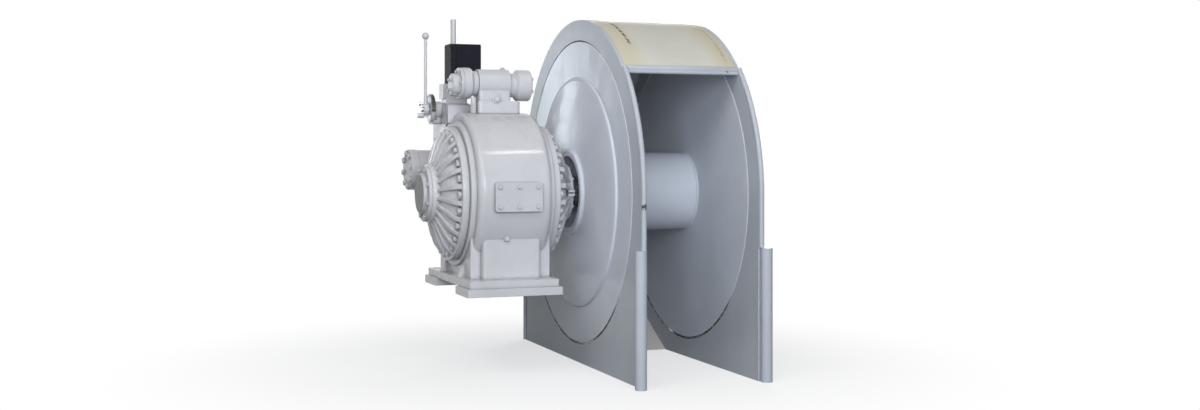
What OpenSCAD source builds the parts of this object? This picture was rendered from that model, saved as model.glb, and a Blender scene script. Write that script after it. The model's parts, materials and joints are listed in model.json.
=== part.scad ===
// Fishing winch: hydraulic vane motor on the left, rope drum in a hooded side-plate frame on the right.
// Origin: centre of the motor's foot pattern, on the underside of its feet. +X runs along the shaft from
// the motor to the drum, +Z is up, and the frame's open front looks along -Y. All sizes are millimetres.

/* [Motor seat] */
// Height of the shaft axis above the underside of the motor's feet
shaft_h = 523; // [510:1:560]
// Length of a foot pad along the shaft
pad_l = 520; // [500:1:560]
// Depth of the whole foot from front to back
foot_d = 950; // [920:1:980]
// Depth of one foot pad from front to back
pad_d = 250; // [220:1:300]
// Thickness of a foot pad
pad_t = 42; // [30:1:50]
// Thickness of the cast base flange
base_t = 40; // [30:1:50]
// How far the base flange stands back from the pads
base_inset = 16; // [8:1:24]
// Corner radius of the base flange and pads
base_corner_r = 14; // [10:1:30]
// Diameter of a holding-down bolt hole
foot_hole_d = 39; // [26:1:45]
// Distance of the holding-down holes from the pads' ends
foot_hole_end = 60; // [45:1:80]
// Distance of the holding-down holes from the foot's front and rear edges
foot_hole_edge = 50; // [45:1:60]
// Width of the pedestal's end posts from front to back
post_d = 644; // [600:1:660]
// Width of the pedestal's front panels from front to back
panel_d = 746; // [720:1:760]

/* [Motor housing] */
// Outer radius of the housing barrel
barrel_r = 440; // [432:1:446]
// Length of the barrel's full-radius part
barrel_l = 333; // [315:1:340]
// Radius of the rounded shoulder at each end of the barrel
shoulder_r = 34; // [20:1:40]
// Radius of the housing flange on the side away from the drum
left_flange_r = 394; // [388:1:400]
// Radius of the housing flange on the drum side
right_flange_r = 386; // [380:1:392]
// Distance from the foot centre to the joint face away from the drum
left_joint = 217; // [212:1:225]
// Distance from the foot centre to the joint face on the drum side
right_joint = 243; // [238:1:250]
// Radius of the housing's main bore
bore_r = 288; // [284:1:289]
// Inner radius of the oil gallery cast round the bore
gallery_in_r = 318; // [310:1:325]
// Outer radius of the oil gallery
gallery_out_r = 404; // [395:1:410]
// Length of the oil gallery along the shaft
gallery_l = 240; // [200:1:260]

/* [Motor works] */
// Length of the rotor chamber
chamber_l = 343; // [320:1:360]
// Smallest inner radius of the cam ring
cam_min_r = 232; // [228:1:236]
// Rise of the cam ring's two lobes
cam_rise = 30; // [20:1:36]
// Running gap between the rotor and the cam ring's smallest radius
rotor_gap = 1; // [0.5:0.1:2]
// Number of vanes
vane_count = 8; // [6:1:10]
// Thickness of a vane
vane_t = 24; // [18:1:30]
// Depth of a vane slot
vane_slot_d = 80; // [60:1:90]
// Gap between a vane and its slot
vane_gap = 0.3; // [0.2:0.1:0.5]

/* [Ribbed end cover] */
// Outer radius of the end cover away from the drum
cover_r = 366; // [360:1:372]
// Thickness of that cover's flange
cover_t = 39; // [32:1:44]
// Radius of the circle of cover bolts
cover_bolt_r = 325; // [322:1:330]
// Number of cover bolts, and of ribs between them
rib_count = 24; // [20:1:26]
// Width of a rib at its outer end
rib_w_out = 27; // [22:1:34]
// Width of a rib at its inner end
rib_w_in = 18; // [14:1:22]
// Distance from the joint face to the face of the cover's boss
boss_z = 148; // [144:1:154]
// Radius of the cover's boss
boss_r = 158; // [154:1:162]
// Distance from the joint face to the outer face of the bearing cap
cap_z = 187; // [182:1:192]
// Radius of the bearing cap's raised centre
cap_centre_r = 108; // [100:1:112]

/* [Drum side cover] */
// Outer radius of the drum side cover
dcover_r = 368; // [366:1:374]
// Thickness of the drum side cover's flange
dcover_t = 40; // [36:1:44]
// Radius of the circle of drum side cover bolts
dcover_bolt_r = 346; // [342:1:348]
// Radius of the neck that faces the drum
neck_r = 168; // [164:1:174]
// Distance from the drum side joint face to the end of the neck
neck_z = 168; // [160:1:174]

/* [Shaft] */
// Radius of the shaft in the rotor and the drum
shaft_r = 90; // [84:1:92]
// Radius of the journal at each end of the shaft
journal_r = 75; // [70:1:78]
// Outer radius of an end bearing
end_bearing_r = 112.5; // [110:0.5:118]
// Width of an end bearing
end_bearing_w = 75; // [60:1:80]
// Outer radius of the drum side bearing
mid_bearing_r = 132; // [128:1:134]
// Width of the drum side bearing
mid_bearing_w = 90; // [70:1:100]
// Radial running clearance of seals and plain bores
run_gap = 0.3; // [0.2:0.1:0.6]

/* [Drum] */
// Distance from the foot centre to the outer face of the left side plate
plate_x = 496; // [490:1:520]
// Distance between the outer face of the left plate and the inner face of the right plate
frame_w = 653; // [600:1:720]
// Outer radius of the drum barrel
drum_r = 221; // [215:1:230]
// Wall of the drum barrel
drum_wall = 19; // [14:1:24]
// Outer radius of the drum flanges
flange_r = 842; // [825:1:844]
// Thickness of the drum flanges
flange_t = 16; // [12:1:18]
// Radius where the left flange's raised cone starts
cone_r = 646; // [600:1:680]
// Height of the cone's outer step
cone_step = 14; // [8:1:18]
// Height of the hub lip over the flange's outer face
hub_lift = 57; // [50:1:64]
// Radius of the hub lip
hub_lip_r = 238; // [236:1:250]
// Radius of the hub boss round the shaft
hub_boss_r = 135; // [125:1:145]
// Thickness of a hub disc
hub_disc_t = 25; // [18:1:32]

/* [Frame] */
// Thickness of the side plates
plate_t = 20; // [18:1:24]
// Gap between the drum's flanges and the round cut-outs that they turn in
flange_gap = 8; // [5:1:12]
// Width of a side plate's ring round its cut-out
plate_rim = 114; // [105:1:125]
// Distance from the shaft axis down to the bottom of the plates
plate_drop = 953; // [940:1:990]
// Thickness of the hood sheet
hood_t = 8; // [6:1:10]
// Angle of the hood's front lip above the horizontal through the shaft
lip_angle = 41.7; // [38:0.1:46]
// Angle past the bottom of the drum at which the hood's rear turns straight
tail_angle = 28; // [26:1:30]
// Radius of the bar along the lip
lip_bar_r = 10; // [8:1:12]
// Radius of the bars along the plates' front edges
rim_bar_r = 13.5; // [10:0.5:15]
// Radius of the front pipes
pipe_r = 30.15; // [27:0.05:33]
// Wall of the front pipes
pipe_wall = 5; // [4:0.5:8]
// Distance from the shaft axis down to the top of the front pipes
pipe_top_drop = 265; // [250:1:280]
// How far a front pipe's axis lies outside its plate's outer face
pipe_out = 12; // [8:1:14]
// Width of the stiffening strips at the plates' rear edges
strip_w = 25; // [20:1:30]
// Thickness of the stiffening strips
strip_t = 8; // [6:1:10]
// Seam left between welded neighbours
seam = 0.3; // [0.2:0.1:0.5]

/* [Outboard bearing] */
// Width of the beam that carries the outboard bearing
beam_w = 330; // [320:1:380]
// Depth of the beam along the shaft
beam_d = 100; // [96:1:120]
// Wall of the beam
beam_wall = 12; // [10:1:16]
// Distance from the shaft axis up to the top of the beam
beam_rise = 905; // [890:1:915]
// Radius of the bearing housing's body
outboard_r = 134; // [130:1:140]
// Radius of the bearing housing's flange
outboard_flange_r = 160; // [156:1:164]

/* [Relief valve on top] */
// Height of the relief valve's axis over the shaft axis
relief_z = 600; // [596:1:610]
// Radius of the relief valve's body
relief_r = 78; // [74:1:80]
// Radius of the relief valve's end caps
relief_cap_r = 86; // [84:1:90]
// Radius of the spool bore
spool_r = 32; // [26:1:36]
// Radial clearance of the spool
spool_gap = 0.05; // [0.03:0.01:0.08]
// Travel of the spool each way
spool_travel = 10; // [8:1:12]

/* [Control valve] */
// Distance from the foot centre to the chest's end away from the drum
chest_left = 222; // [218:1:230]
// Distance from the foot centre to the chest's drum side end
chest_right = 150; // [140:1:160]
// Distance from the shaft axis to the chest's front wall
chest_front = 85; // [80:1:95]
// Distance from the shaft axis to the chest's rear wall
chest_rear = 425; // [415:1:440]
// Height of the chest's top over the shaft axis
chest_top = 488; // [482:1:495]
// Height of the side valve's axis over the shaft axis
side_z = 122; // [115:1:130]
// Distance of the side valve's axis behind the shaft axis
side_y = 480; // [478:1:490]
// Outer radius of the side valve's housing
side_r = 113; // [108:1:115]
// Distance from the foot centre to the side valve's outer end
side_left = 360; // [352:1:366]
// Distance from the shaft axis to the face of the rear oil ports
port_face = 592; // [590:1:605]
// Distance between the two oil ports
port_pitch = 190; // [180:1:200]
// Radius of the oil ports' bore
port_bore_r = 45; // [38:1:48]

/* [Hand lever] */
// Distance from the foot centre to the middle of the lever
lever_x = 307; // [302:1:312]
// Distance of the lever's spindle behind the shaft axis
lever_y = 255; // [250:1:262]
// Height of the lever's spindle over the shaft axis
spindle_z = 462; // [456:1:466]
// Height of the knob's centre over the shaft axis
knob_z = 873; // [850:1:890]
// Radius of the knob
knob_r = 20; // [17:1:24]
// Radius of the lever's rod
rod_r = 8.5; // [7:0.5:11]
// Radius of the spindle
spindle_r = 14; // [12:1:16]
// Radial clearance of the spindle in its bores
spindle_gap = 0.05; // [0.03:0.01:0.08]
// Radius of the quadrant disc
quadrant_r = 86; // [82:1:90]
// Angle from the lever's upright place to its two working places
index_angle = 28; // [20:1:32]

/* [Control box and riser] */
// Width of the control box along the shaft
box_w = 173; // [165:1:180]
// Depth of the control box
box_d = 146; // [130:1:160]
// Height of the control box
box_h = 254; // [240:1:270]
// Height of the box's underside over the shaft axis
box_z = 575; // [565:1:585]
// Outer radius of the riser pipe
riser_r = 17; // [14:1:20]
// Height of the riser's open top over the shaft axis
riser_top = 983; // [950:1:1000]

/* [Hidden] */
$fn = 72;
enamel = [0.80, 0.80, 0.82];
frame_paint = [0.70, 0.72, 0.75];
hood_paint = [0.78, 0.77, 0.74];
black_gloss = [0.06, 0.06, 0.07];
steel = [0.62, 0.63, 0.65];

// Sizes of the hexagon bolts: distance across flats, head height and shank radius
cover_bolt = [36, 17, 12];
dcover_bolt = [30, 15, 10];
cap_bolt = [19, 9, 6];
plate_bolt = [19, 8, 6];
port_bolt = [30, 13, 10];
flange_bolt = [24, 10, 8];
bolt_play = 0.3;

// Places along the shaft, from the foot centre
barrel_x0 = -left_joint + 63;
barrel_x1 = barrel_x0 + barrel_l;
chamber_x0 = -chamber_l / 2;
right_plate_x = plate_x + frame_w;
beam_x = right_plate_x + plate_t;
foot_hole_x = pad_l - 2 * foot_hole_end;
foot_hole_y = foot_d - 2 * foot_hole_edge;
cutout_r = flange_r + flange_gap;
plate_r = cutout_r + plate_rim;
shaft_x0 = -left_joint - boss_z + 8;
shaft_x1 = beam_x + beam_d + 8;
mid_bearing_x = right_joint + 40;
end_bearing_x = -left_joint - boss_z + 26;
outboard_bearing_x = beam_x + 14;
hub_x = plate_x - hub_lift;
hub_disc_x = [plate_x + 70, right_plate_x - 70 - hub_disc_t];
neck_x = right_joint + neck_z;

// Heights, from the underside of the feet
base_top = pad_t + base_t;
plate_bottom = shaft_h - plate_drop;
pipe_top = shaft_h - pipe_top_drop;

// Places along Y
pipe_y = plate_r + seam + sqrt(pow(pipe_r, 2) - pow(pipe_out, 2));
rim_y = plate_r + seam + rim_bar_r;
hood_in_r = plate_r - hood_t;

// Children are drawn round the shaft: their Z runs along +X from the given place
module round_shaft(x) {
  translate([x, 0, shaft_h]) rotate([0, 90, 0]) children();
}

// Children are drawn round the shaft: their Z runs along -X, and their X points up
module round_shaft_left(x) {
  translate([x, 0, shaft_h]) rotate([0, -90, 0]) children();
}

// Children's Z runs along +X at the given place, with Z counted from the shaft axis
module along_x(x, y, z) {
  translate([x, y, shaft_h + z]) rotate([0, 90, 0]) children();
}

// Children's Z runs along -X at the given place
module along_left(x, y, z) {
  translate([x, y, shaft_h + z]) rotate([0, -90, 0]) children();
}

// Ring with square edges
module ring(outer_r, inner_r, h) {
  difference() {
    cylinder(r = outer_r, h = h);
    translate([0, 0, -1]) cylinder(r = inner_r, h = h + 2);
  }
}

// Block with rounded upright edges, centred in X and Y
module rounded_slab(lx, ly, h, r) {
  translate([-lx / 2 + r, -ly / 2, 0]) cube([lx - 2 * r, ly, h]);
  translate([-lx / 2, -ly / 2 + r, 0]) cube([lx, ly - 2 * r, h]);
  for (sx = [-1, 1], sy = [-1, 1])
    translate([sx * (lx / 2 - r), sy * (ly / 2 - r), 0]) cylinder(r = r, h = h);
}

// Hexagon bolt that stands on Z = 0, with its shank below
module hex_bolt(size, grip) {
  cylinder(r = size[0] / 2 / cos(30), h = size[1] * 0.8, $fn = 6);
  translate([0, 0, size[1] * 0.8]) cylinder(r1 = size[0] / 2, r2 = size[0] * 0.42, h = size[1] * 0.2);
  translate([0, 0, -grip]) cylinder(r = size[2], h = grip + 1);
}

// Copies spaced evenly on a circle, the first one at the given angle
module on_circle(count, r, start = 0) {
  for (i = [0 : count - 1]) rotate([0, 0, start + i * 360 / count]) translate([r, 0, 0]) children();
}

// Points of an arc in an (r, x) profile
function arc(cr, cx, r, a0, a1, steps = 5) =
  [for (i = [0 : steps]) let (a = a0 + (a1 - a0) * i / steps) [cr + r * cos(a), cx + r * sin(a)]];

// Places on the pedestal
post_x0 = -left_joint + 13;
post_x1 = right_joint - 12;
panel_l = barrel_l - 16;
panel_x = (barrel_x0 + barrel_x1) / 2 - 4;
post_top = shaft_h - sqrt(pow(right_flange_r, 2) - pow(post_d / 2, 2)) + 8;
panel_top = shaft_h - sqrt(pow(barrel_r, 2) - pow(panel_d / 2, 2)) + 6;
panel_corner_r = 20;
gusset_y = 190;
gusset_w = 40;
gusset_h = 88;

// The inspection cover and its raised pad on the front of the barrel
hatch_x = 21;
hatch_z = -10;
hatch_l = 256;
hatch_h = 152;
hatch_r = 14;
hatch_pad_y = -barrel_r - 5;
hatch_t = 15;
hatch_bolt_x = 104;
hatch_bolt_z = 52;
hatch_open = [150, 66];

// The oil ports
port_x = [for (s = [-1, 1]) (chest_right - chest_left) / 2 + s * port_pitch / 2];
port_z = side_z;
passage_r = port_bore_r - 5;
relief_port_r = 38;
relief_x = 5;

// The small plug in the front panel
plug_x = -23;
plug_z = -229;
plug_r = 12;
plug_boss_h = 11;

module holding_down_holes(h) {
  for (sx = [-1, 1], sy = [-1, 1])
    translate([sx * foot_hole_x / 2, sy * foot_hole_y / 2, -1]) cylinder(d = foot_hole_d, h = h + 2);
}

module gusset() {
  foot = min(post_x0 + pad_l / 2 - base_inset, 36) - 2;
  rotate([90, 0, 0]) linear_extrude(gusset_w, center = true)
    polygon([[5, 0], [-foot, 0], [-foot, 6], [0, gusset_h], [5, gusset_h]]);
}

module housing_shell() {
  rotate_extrude() polygon(concat(
    [[0, -left_joint], [left_flange_r - 3, -left_joint], [left_flange_r, -left_joint + 3]],
    [[left_flange_r, barrel_x0 - shoulder_r]],
    arc(barrel_r - shoulder_r, barrel_x0, shoulder_r, -90, 0),
    arc(barrel_r - shoulder_r, barrel_x1, shoulder_r, 0, 90),
    [[right_flange_r, barrel_x1 + shoulder_r], [right_flange_r, right_joint - 3]],
    [[right_flange_r - 3, right_joint], [0, right_joint]]));
}

module motor_housing() {
  color(enamel) difference() {
    union() {
      round_shaft(0) housing_shell();
      translate([post_x0, -post_d / 2, base_top - 1])
        cube([post_x1 - post_x0, post_d, post_top - base_top + 1]);
      translate([panel_x, 0, base_top - 1])
        rounded_slab(panel_l, panel_d, panel_top - base_top + 1, panel_corner_r);
      translate([0, 0, pad_t])
        rounded_slab(pad_l - 2 * base_inset, foot_d - 2 * base_inset, base_t, base_corner_r);
      for (s = [-1, 1]) {
        translate([post_x0, s * gusset_y, base_top - 1]) gusset();
        translate([post_x1, s * gusset_y, base_top - 1]) mirror([1, 0, 0]) gusset();
      }
      translate([hatch_x, -barrel_r + 40, shaft_h + hatch_z]) rotate([90, 0, 0])
        rounded_slab(hatch_l, hatch_h, -hatch_pad_y - barrel_r + 40, hatch_r);
      translate([plug_x, -panel_d / 2 + 30, shaft_h + plug_z]) rotate([90, 0, 0])
        cylinder(r = plug_r + 4, h = 30 + plug_boss_h);
    }
    round_shaft(-left_joint - 1) cylinder(r = bore_r, h = left_joint + right_joint + 2);
    round_shaft((barrel_x0 + barrel_x1 - gallery_l) / 2) ring(gallery_out_r, gallery_in_r, gallery_l);
    translate([hatch_x - hatch_open[0] / 2, hatch_pad_y - 1, shaft_h + hatch_z - hatch_open[1] / 2])
      cube([hatch_open[0], barrel_r - gallery_in_r - 20, hatch_open[1]]);
    translate([relief_x, 0, shaft_h + gallery_in_r + 20]) cylinder(r = relief_port_r, h = barrel_r);
    for (x = port_x) translate([x, gallery_in_r + 20, shaft_h + port_z]) rotate([-90, 0, 0])
      cylinder(r = passage_r, h = barrel_r);
    translate([0, 0, pad_t]) holding_down_holes(base_t);
    translate([plug_x, -panel_d / 2 + 18, shaft_h + plug_z]) rotate([90, 0, 0])
      cylinder(r = plug_r - 3, h = 40);
    round_shaft_left(-left_joint) on_circle(rib_count, cover_bolt_r)
      translate([0, 0, -44]) cylinder(r = cover_bolt[2] + bolt_play, h = 45);
    round_shaft(right_joint) on_circle(rib_count, dcover_bolt_r)
      translate([0, 0, -40]) cylinder(r = dcover_bolt[2] + bolt_play, h = 41);
    hatch_bolts() cylinder(r = plate_bolt[2] + bolt_play, h = 60, center = true);
  }
}

// One foot pad: the front one, or the rear one mirrored
module foot_pad() {
  difference() {
    intersection() {
      rounded_slab(pad_l, foot_d, pad_t, base_corner_r);
      translate([-pad_l, -foot_d / 2 - 1, -1]) cube([2 * pad_l, pad_d + 1, pad_t + 2]);
    }
    holding_down_holes(pad_t);
  }
}

module front_foot_pad() {
  color(enamel) foot_pad();
}

module rear_foot_pad() {
  color(enamel) mirror([0, 1, 0]) foot_pad();
}

// Children stand on the inspection cover's pad, facing forward, at its six bolts
module hatch_bolts() {
  for (ix = [-1 : 1], iz = [-1, 1])
    translate([hatch_x + ix * hatch_bolt_x, hatch_pad_y, shaft_h + hatch_z + iz * hatch_bolt_z])
      rotate([90, 0, 0]) children();
}

module inspection_cover() {
  color(enamel) difference() {
    translate([hatch_x, hatch_pad_y, shaft_h + hatch_z]) rotate([90, 0, 0])
      rounded_slab(hatch_l, hatch_h, hatch_t, hatch_r);
    hatch_bolts() cylinder(r = plate_bolt[2] + bolt_play, h = 60, center = true);
  }
}

module inspection_bolts() {
  color(enamel) hatch_bolts() translate([0, 0, hatch_t]) hex_bolt(plate_bolt, hatch_t + 20);
}

module pedestal_plug() {
  color(enamel) translate([plug_x, -panel_d / 2 - plug_boss_h, shaft_h + plug_z]) rotate([90, 0, 0]) {
    cylinder(r = plug_r, h = 7, $fn = 6);
    translate([0, 0, -16]) cylinder(r = plug_r - 3 - bolt_play, h = 17);
  }
}

// Radius of the two-lobed cam at an angle
function cam_r(a) = cam_min_r + cam_rise * (1 - cos(2 * a)) / 2;

module cam_ring() {
  color(steel) round_shaft(chamber_x0) difference() {
    cylinder(r = bore_r - seam, h = chamber_l);
    translate([0, 0, -1]) linear_extrude(chamber_l + 2)
      polygon([for (a = [0 : 5 : 355]) [cam_r(a) * cos(a), cam_r(a) * sin(a)]]);
  }
}

rotor_r = cam_min_r - rotor_gap;
rotor_end_gap = 0.5;
key_w = 45;
key_h = 15;
key_fit = 0.2;

module rotor() {
  color(steel) round_shaft(chamber_x0 + rotor_end_gap) difference() {
    cylinder(r = rotor_r, h = chamber_l - 2 * rotor_end_gap);
    translate([0, 0, -1]) cylinder(r = shaft_r + 0.1, h = chamber_l + 2);
    translate([0, -key_w / 2 - key_fit, -1])
      cube([shaft_r + key_h + key_fit, key_w + 2 * key_fit, chamber_l + 2]);
    on_circle(vane_count, rotor_r - vane_slot_d, 180 / vane_count)
      translate([0, -vane_t / 2, -1]) cube([vane_slot_d + 10, vane_t, chamber_l + 2]);
  }
}

module vanes() {
  color(steel) round_shaft(chamber_x0 + rotor_end_gap)
    on_circle(vane_count, rotor_r - vane_slot_d, 180 / vane_count)
      translate([vane_gap, -vane_t / 2 + vane_gap, 0])
        cube([vane_slot_d - 2 * vane_gap - 0.5, vane_t - 2 * vane_gap, chamber_l - 2 * rotor_end_gap]);
}

module main_shaft() {
  color(steel) difference() {
    union() {
      round_shaft(shaft_x0) cylinder(r = journal_r, h = shaft_x1 - shaft_x0);
      round_shaft(chamber_x0 + rotor_end_gap)
        cylinder(r = shaft_r, h = beam_x - 4 - chamber_x0);
      round_shaft(chamber_x0 + 20) translate([0, -key_w / 2, 0])
        cube([shaft_r + key_h, key_w, chamber_l - 40]);
    }
    for (x = [shaft_x0 - 1, shaft_x1 - 19]) round_shaft(x) cylinder(r = 12, h = 20);
  }
}

// A roller bearing's races and rollers share the space between its bore and its outside
outer_race_share = 0.22;
inner_race_share = 0.26;
roller_gap = 0.3;
race_fit = 0.05;

module each_bearing() {
  round_shaft(end_bearing_x) bearing_piece($piece, journal_r, end_bearing_r, end_bearing_w);
  round_shaft(mid_bearing_x) bearing_piece($piece, shaft_r, mid_bearing_r, mid_bearing_w);
  round_shaft(outboard_bearing_x) bearing_piece($piece, journal_r, end_bearing_r, end_bearing_w);
}

module bearing_piece(piece, in_r, out_r, w) {
  t = out_r - in_r;
  race_in_r = in_r + inner_race_share * t;
  race_out_r = out_r - outer_race_share * t;
  roller_r = (race_out_r - race_in_r) / 2 - roller_gap;
  mid_r = (race_out_r + race_in_r) / 2;
  if (piece == "outer") ring(out_r - race_fit, race_out_r, w);
  if (piece == "inner") ring(race_in_r, in_r + race_fit, w);
  if (piece == "rollers") on_circle(floor(PI * mid_r / (1.12 * roller_r)), mid_r)
    translate([0, 0, w * 0.1]) cylinder(r = roller_r, h = w * 0.8, $fn = 24);
}

module bearing_outer_races() {
  $piece = "outer";
  color(steel) each_bearing();
}

module bearing_inner_races() {
  $piece = "inner";
  color(steel) each_bearing();
}

module bearing_rollers() {
  $piece = "rollers";
  color(steel) each_bearing();
}

// A straight radial rib: its profile is in (r, z), and its width runs from w0 at r0 to w1 at r1
module tapered_rib(profile, r0, w0, r1, w1) {
  intersection() {
    rotate([90, 0, 0]) linear_extrude(w1 + 2, center = true) polygon(profile);
    linear_extrude(300) polygon([[r0, -w0 / 2], [r1, -w1 / 2], [r1, w1 / 2], [r0, w0 / 2]]);
  }
}

cover_spigot = left_joint - chamber_l / 2;
end_bearing_z = -left_joint - end_bearing_x - end_bearing_w;
valley_r = cover_bolt_r - cover_bolt[0] * 0.7;
rib_top_r = cover_bolt_r - 22;
rib_in_z = 124;

module ribbed_end_cover() {
  color(enamel) round_shaft_left(-left_joint) difference() {
    union() {
      rotate_extrude() polygon([
        [0, -cover_spigot], [bore_r - seam, -cover_spigot], [bore_r - seam, 0], [cover_r, 0],
        [cover_r, cover_t - 5], [cover_r - 5, cover_t], [valley_r, cover_t], [valley_r - 8, cover_t + 10],
        [valley_r - 28, cover_t + 32], [valley_r - 58, cover_t + 51], [valley_r - 98, cover_t + 65],
        [boss_r, rib_in_z - 14], [boss_r, boss_z - 5], [boss_r - 5, boss_z], [0, boss_z]]);
      on_circle(rib_count, 0, 180 / rib_count) tapered_rib([
        [boss_r - 6, cover_t - 8], [boss_r - 6, rib_in_z], [boss_r + 6, rib_in_z],
        [rib_top_r - 24, cover_t + 48], [rib_top_r, cover_t + 38], [cover_bolt_r + 12, cover_t + 14],
        [cover_r - 12, cover_t - 2], [cover_r - 12, cover_t - 8]],
        boss_r - 6, rib_w_in, cover_r - 12, rib_w_out);
    }
    translate([0, 0, end_bearing_z]) cylinder(r = end_bearing_r, h = boss_z);
    translate([0, 0, -cover_spigot - 1]) cylinder(r = journal_r + 6, h = boss_z + cover_spigot);
    on_circle(rib_count, cover_bolt_r) translate([0, 0, -1])
      cylinder(r = cover_bolt[2] + bolt_play, h = cover_t + 2);
    on_circle(cap_bolt_count, cap_bolt_r, 22.5) translate([0, 0, boss_z - 24])
      cylinder(r = cap_bolt[2] + bolt_play, h = 25);
  }
}

module end_cover_bolts() {
  color(enamel) round_shaft_left(-left_joint) on_circle(rib_count, cover_bolt_r)
    translate([0, 0, cover_t]) hex_bolt(cover_bolt, cover_t + 30);
}

cap_bolt_count = 8;
cap_bolt_r = 133;
cap_flange_t = 18;

module bearing_cap() {
  color(enamel) round_shaft_left(-left_joint - boss_z) difference() {
    union() {
      rotate_extrude() polygon([
        [0, 0], [boss_r - 6, 0], [boss_r - 6, cap_flange_t - 4], [boss_r - 10, cap_flange_t],
        [cap_centre_r + 3, cap_flange_t], [cap_centre_r, cap_flange_t + 3],
        [cap_centre_r, cap_z - boss_z - 6], [cap_centre_r - 6, cap_z - boss_z], [0, cap_z - boss_z]]);
      translate([0, 0, end_bearing_z + end_bearing_w - boss_z + race_fit])
        cylinder(r = end_bearing_r - race_fit, h = boss_z - end_bearing_z - end_bearing_w);
    }
    translate([0, 0, -60]) cylinder(r = journal_r + 16, h = 70);
    on_circle(cap_bolt_count, cap_bolt_r, 22.5) translate([0, 0, -1])
      cylinder(r = cap_bolt[2] + bolt_play, h = cap_flange_t + 2);
  }
}

module bearing_cap_bolts() {
  color(enamel) round_shaft_left(-left_joint - boss_z) on_circle(cap_bolt_count, cap_bolt_r, 22.5)
    translate([0, 0, cap_flange_t]) hex_bolt(cap_bolt, cap_flange_t + 20);
}

dcover_spigot = right_joint - chamber_l / 2;
dvalley_r = dcover_bolt_r - dcover_bolt[0] * 0.75;

module drum_side_cover() {
  color(enamel) round_shaft(right_joint) difference() {
    union() {
      rotate_extrude() polygon([
        [0, -dcover_spigot], [bore_r - seam, -dcover_spigot], [bore_r - seam, 0], [dcover_r, 0],
        [dcover_r, dcover_t - 4], [dcover_r - 4, dcover_t], [dvalley_r, dcover_t],
        [dvalley_r - 6, dcover_t + 8], [dvalley_r - 50, dcover_t + 42], [neck_r + 50, neck_z - 50],
        [neck_r, neck_z - 30], [neck_r, neck_z - 4], [neck_r - 4, neck_z], [0, neck_z]]);
      on_circle(rib_count, 0, 180 / rib_count) tapered_rib([
        [neck_r - 6, dcover_t - 8], [neck_r - 6, neck_z - 6], [neck_r + 4, neck_z - 6],
        [neck_r + 88, neck_z - 48], [dcover_bolt_r - 50, dcover_t + 58], [dcover_bolt_r - 6, dcover_t + 36],
        [dcover_r - 11, dcover_t - 2], [dcover_r - 11, dcover_t - 8]],
        neck_r - 6, rib_w_in, dcover_r - 11, rib_w_out);
    }
    translate([0, 0, mid_bearing_x - right_joint]) cylinder(r = mid_bearing_r, h = neck_z);
    translate([0, 0, -dcover_spigot - 1]) cylinder(r = shaft_r + 12, h = neck_z + dcover_spigot);
    on_circle(rib_count, dcover_bolt_r) translate([0, 0, -1])
      cylinder(r = dcover_bolt[2] + bolt_play, h = dcover_t + 2);
    on_circle(retainer_bolt_count, retainer_bolt_r) translate([0, 0, neck_z - 24])
      cylinder(r = cap_bolt[2] + bolt_play, h = 25);
  }
}

module drum_side_bolts() {
  color(enamel) round_shaft(right_joint) on_circle(rib_count, dcover_bolt_r)
    translate([0, 0, dcover_t]) hex_bolt(dcover_bolt, dcover_t + 26);
}

retainer_bolt_count = 12;
retainer_bolt_r = 150;
retainer_t = 14;
retainer_r = neck_r - 6;
seal_r = shaft_r + 22;
seal_w = 16;
retainer_z0 = mid_bearing_x + mid_bearing_w - neck_x + race_fit;

module seal_retainer() {
  color(enamel) round_shaft(neck_x) difference() {
    union() {
      cylinder(r = retainer_r, h = retainer_t);
      translate([0, 0, retainer_z0]) cylinder(r = mid_bearing_r - race_fit, h = -retainer_z0 + 1);
    }
    translate([0, 0, -neck_z]) cylinder(r = shaft_r + 2, h = 2 * neck_z);
    translate([0, 0, retainer_z0 - 1]) cylinder(r = seal_r + race_fit, h = -retainer_z0 + 5);
    on_circle(retainer_bolt_count, retainer_bolt_r) translate([0, 0, -1])
      cylinder(r = cap_bolt[2] + bolt_play, h = retainer_t + 2);
  }
}

module seal_retainer_bolts() {
  color(steel) round_shaft(neck_x) on_circle(retainer_bolt_count, retainer_bolt_r)
    translate([0, 0, retainer_t]) hex_bolt(cap_bolt, retainer_t + 20);
}

module shaft_seal() {
  color(black_gloss) round_shaft(neck_x + 3 - seal_w) ring(seal_r, shaft_r + run_gap, seal_w);
}

// The relief valve lies along the shaft on top of the barrel
relief_x0 = -85;
relief_x1 = 94;
left_cap_l = 84;
left_neck_l = 36;
pilot_l = 60;
pilot_drop = 9;
right_cap_l = 121;
right_neck_l = 44;
right_drop = 8;
pilot_r = 62;
relief_base_x0 = -97;
relief_base_x1 = 147;
relief_base_d = 150;
relief_base_top = barrel_r + 62;
relief_bolt = [17, 9, 5];
pilot_bolt_r = relief_cap_r - 12;
pilot_foot_t = 18;
chamber_r = spool_r + 16;
spring_room = 40;

// Everything that comes within the seam of the motor housing's outside
module housing_clearance() {
  round_shaft(0) rotate_extrude() polygon(concat(
    [[0, -2 * left_joint], [left_flange_r + seam, -2 * left_joint]],
    [[left_flange_r + seam, barrel_x0 - shoulder_r - seam]],
    arc(barrel_r - shoulder_r, barrel_x0, shoulder_r + seam, -90, 0),
    [[barrel_r + seam, 2 * barrel_l], [0, 2 * barrel_l]]));
}

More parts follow.
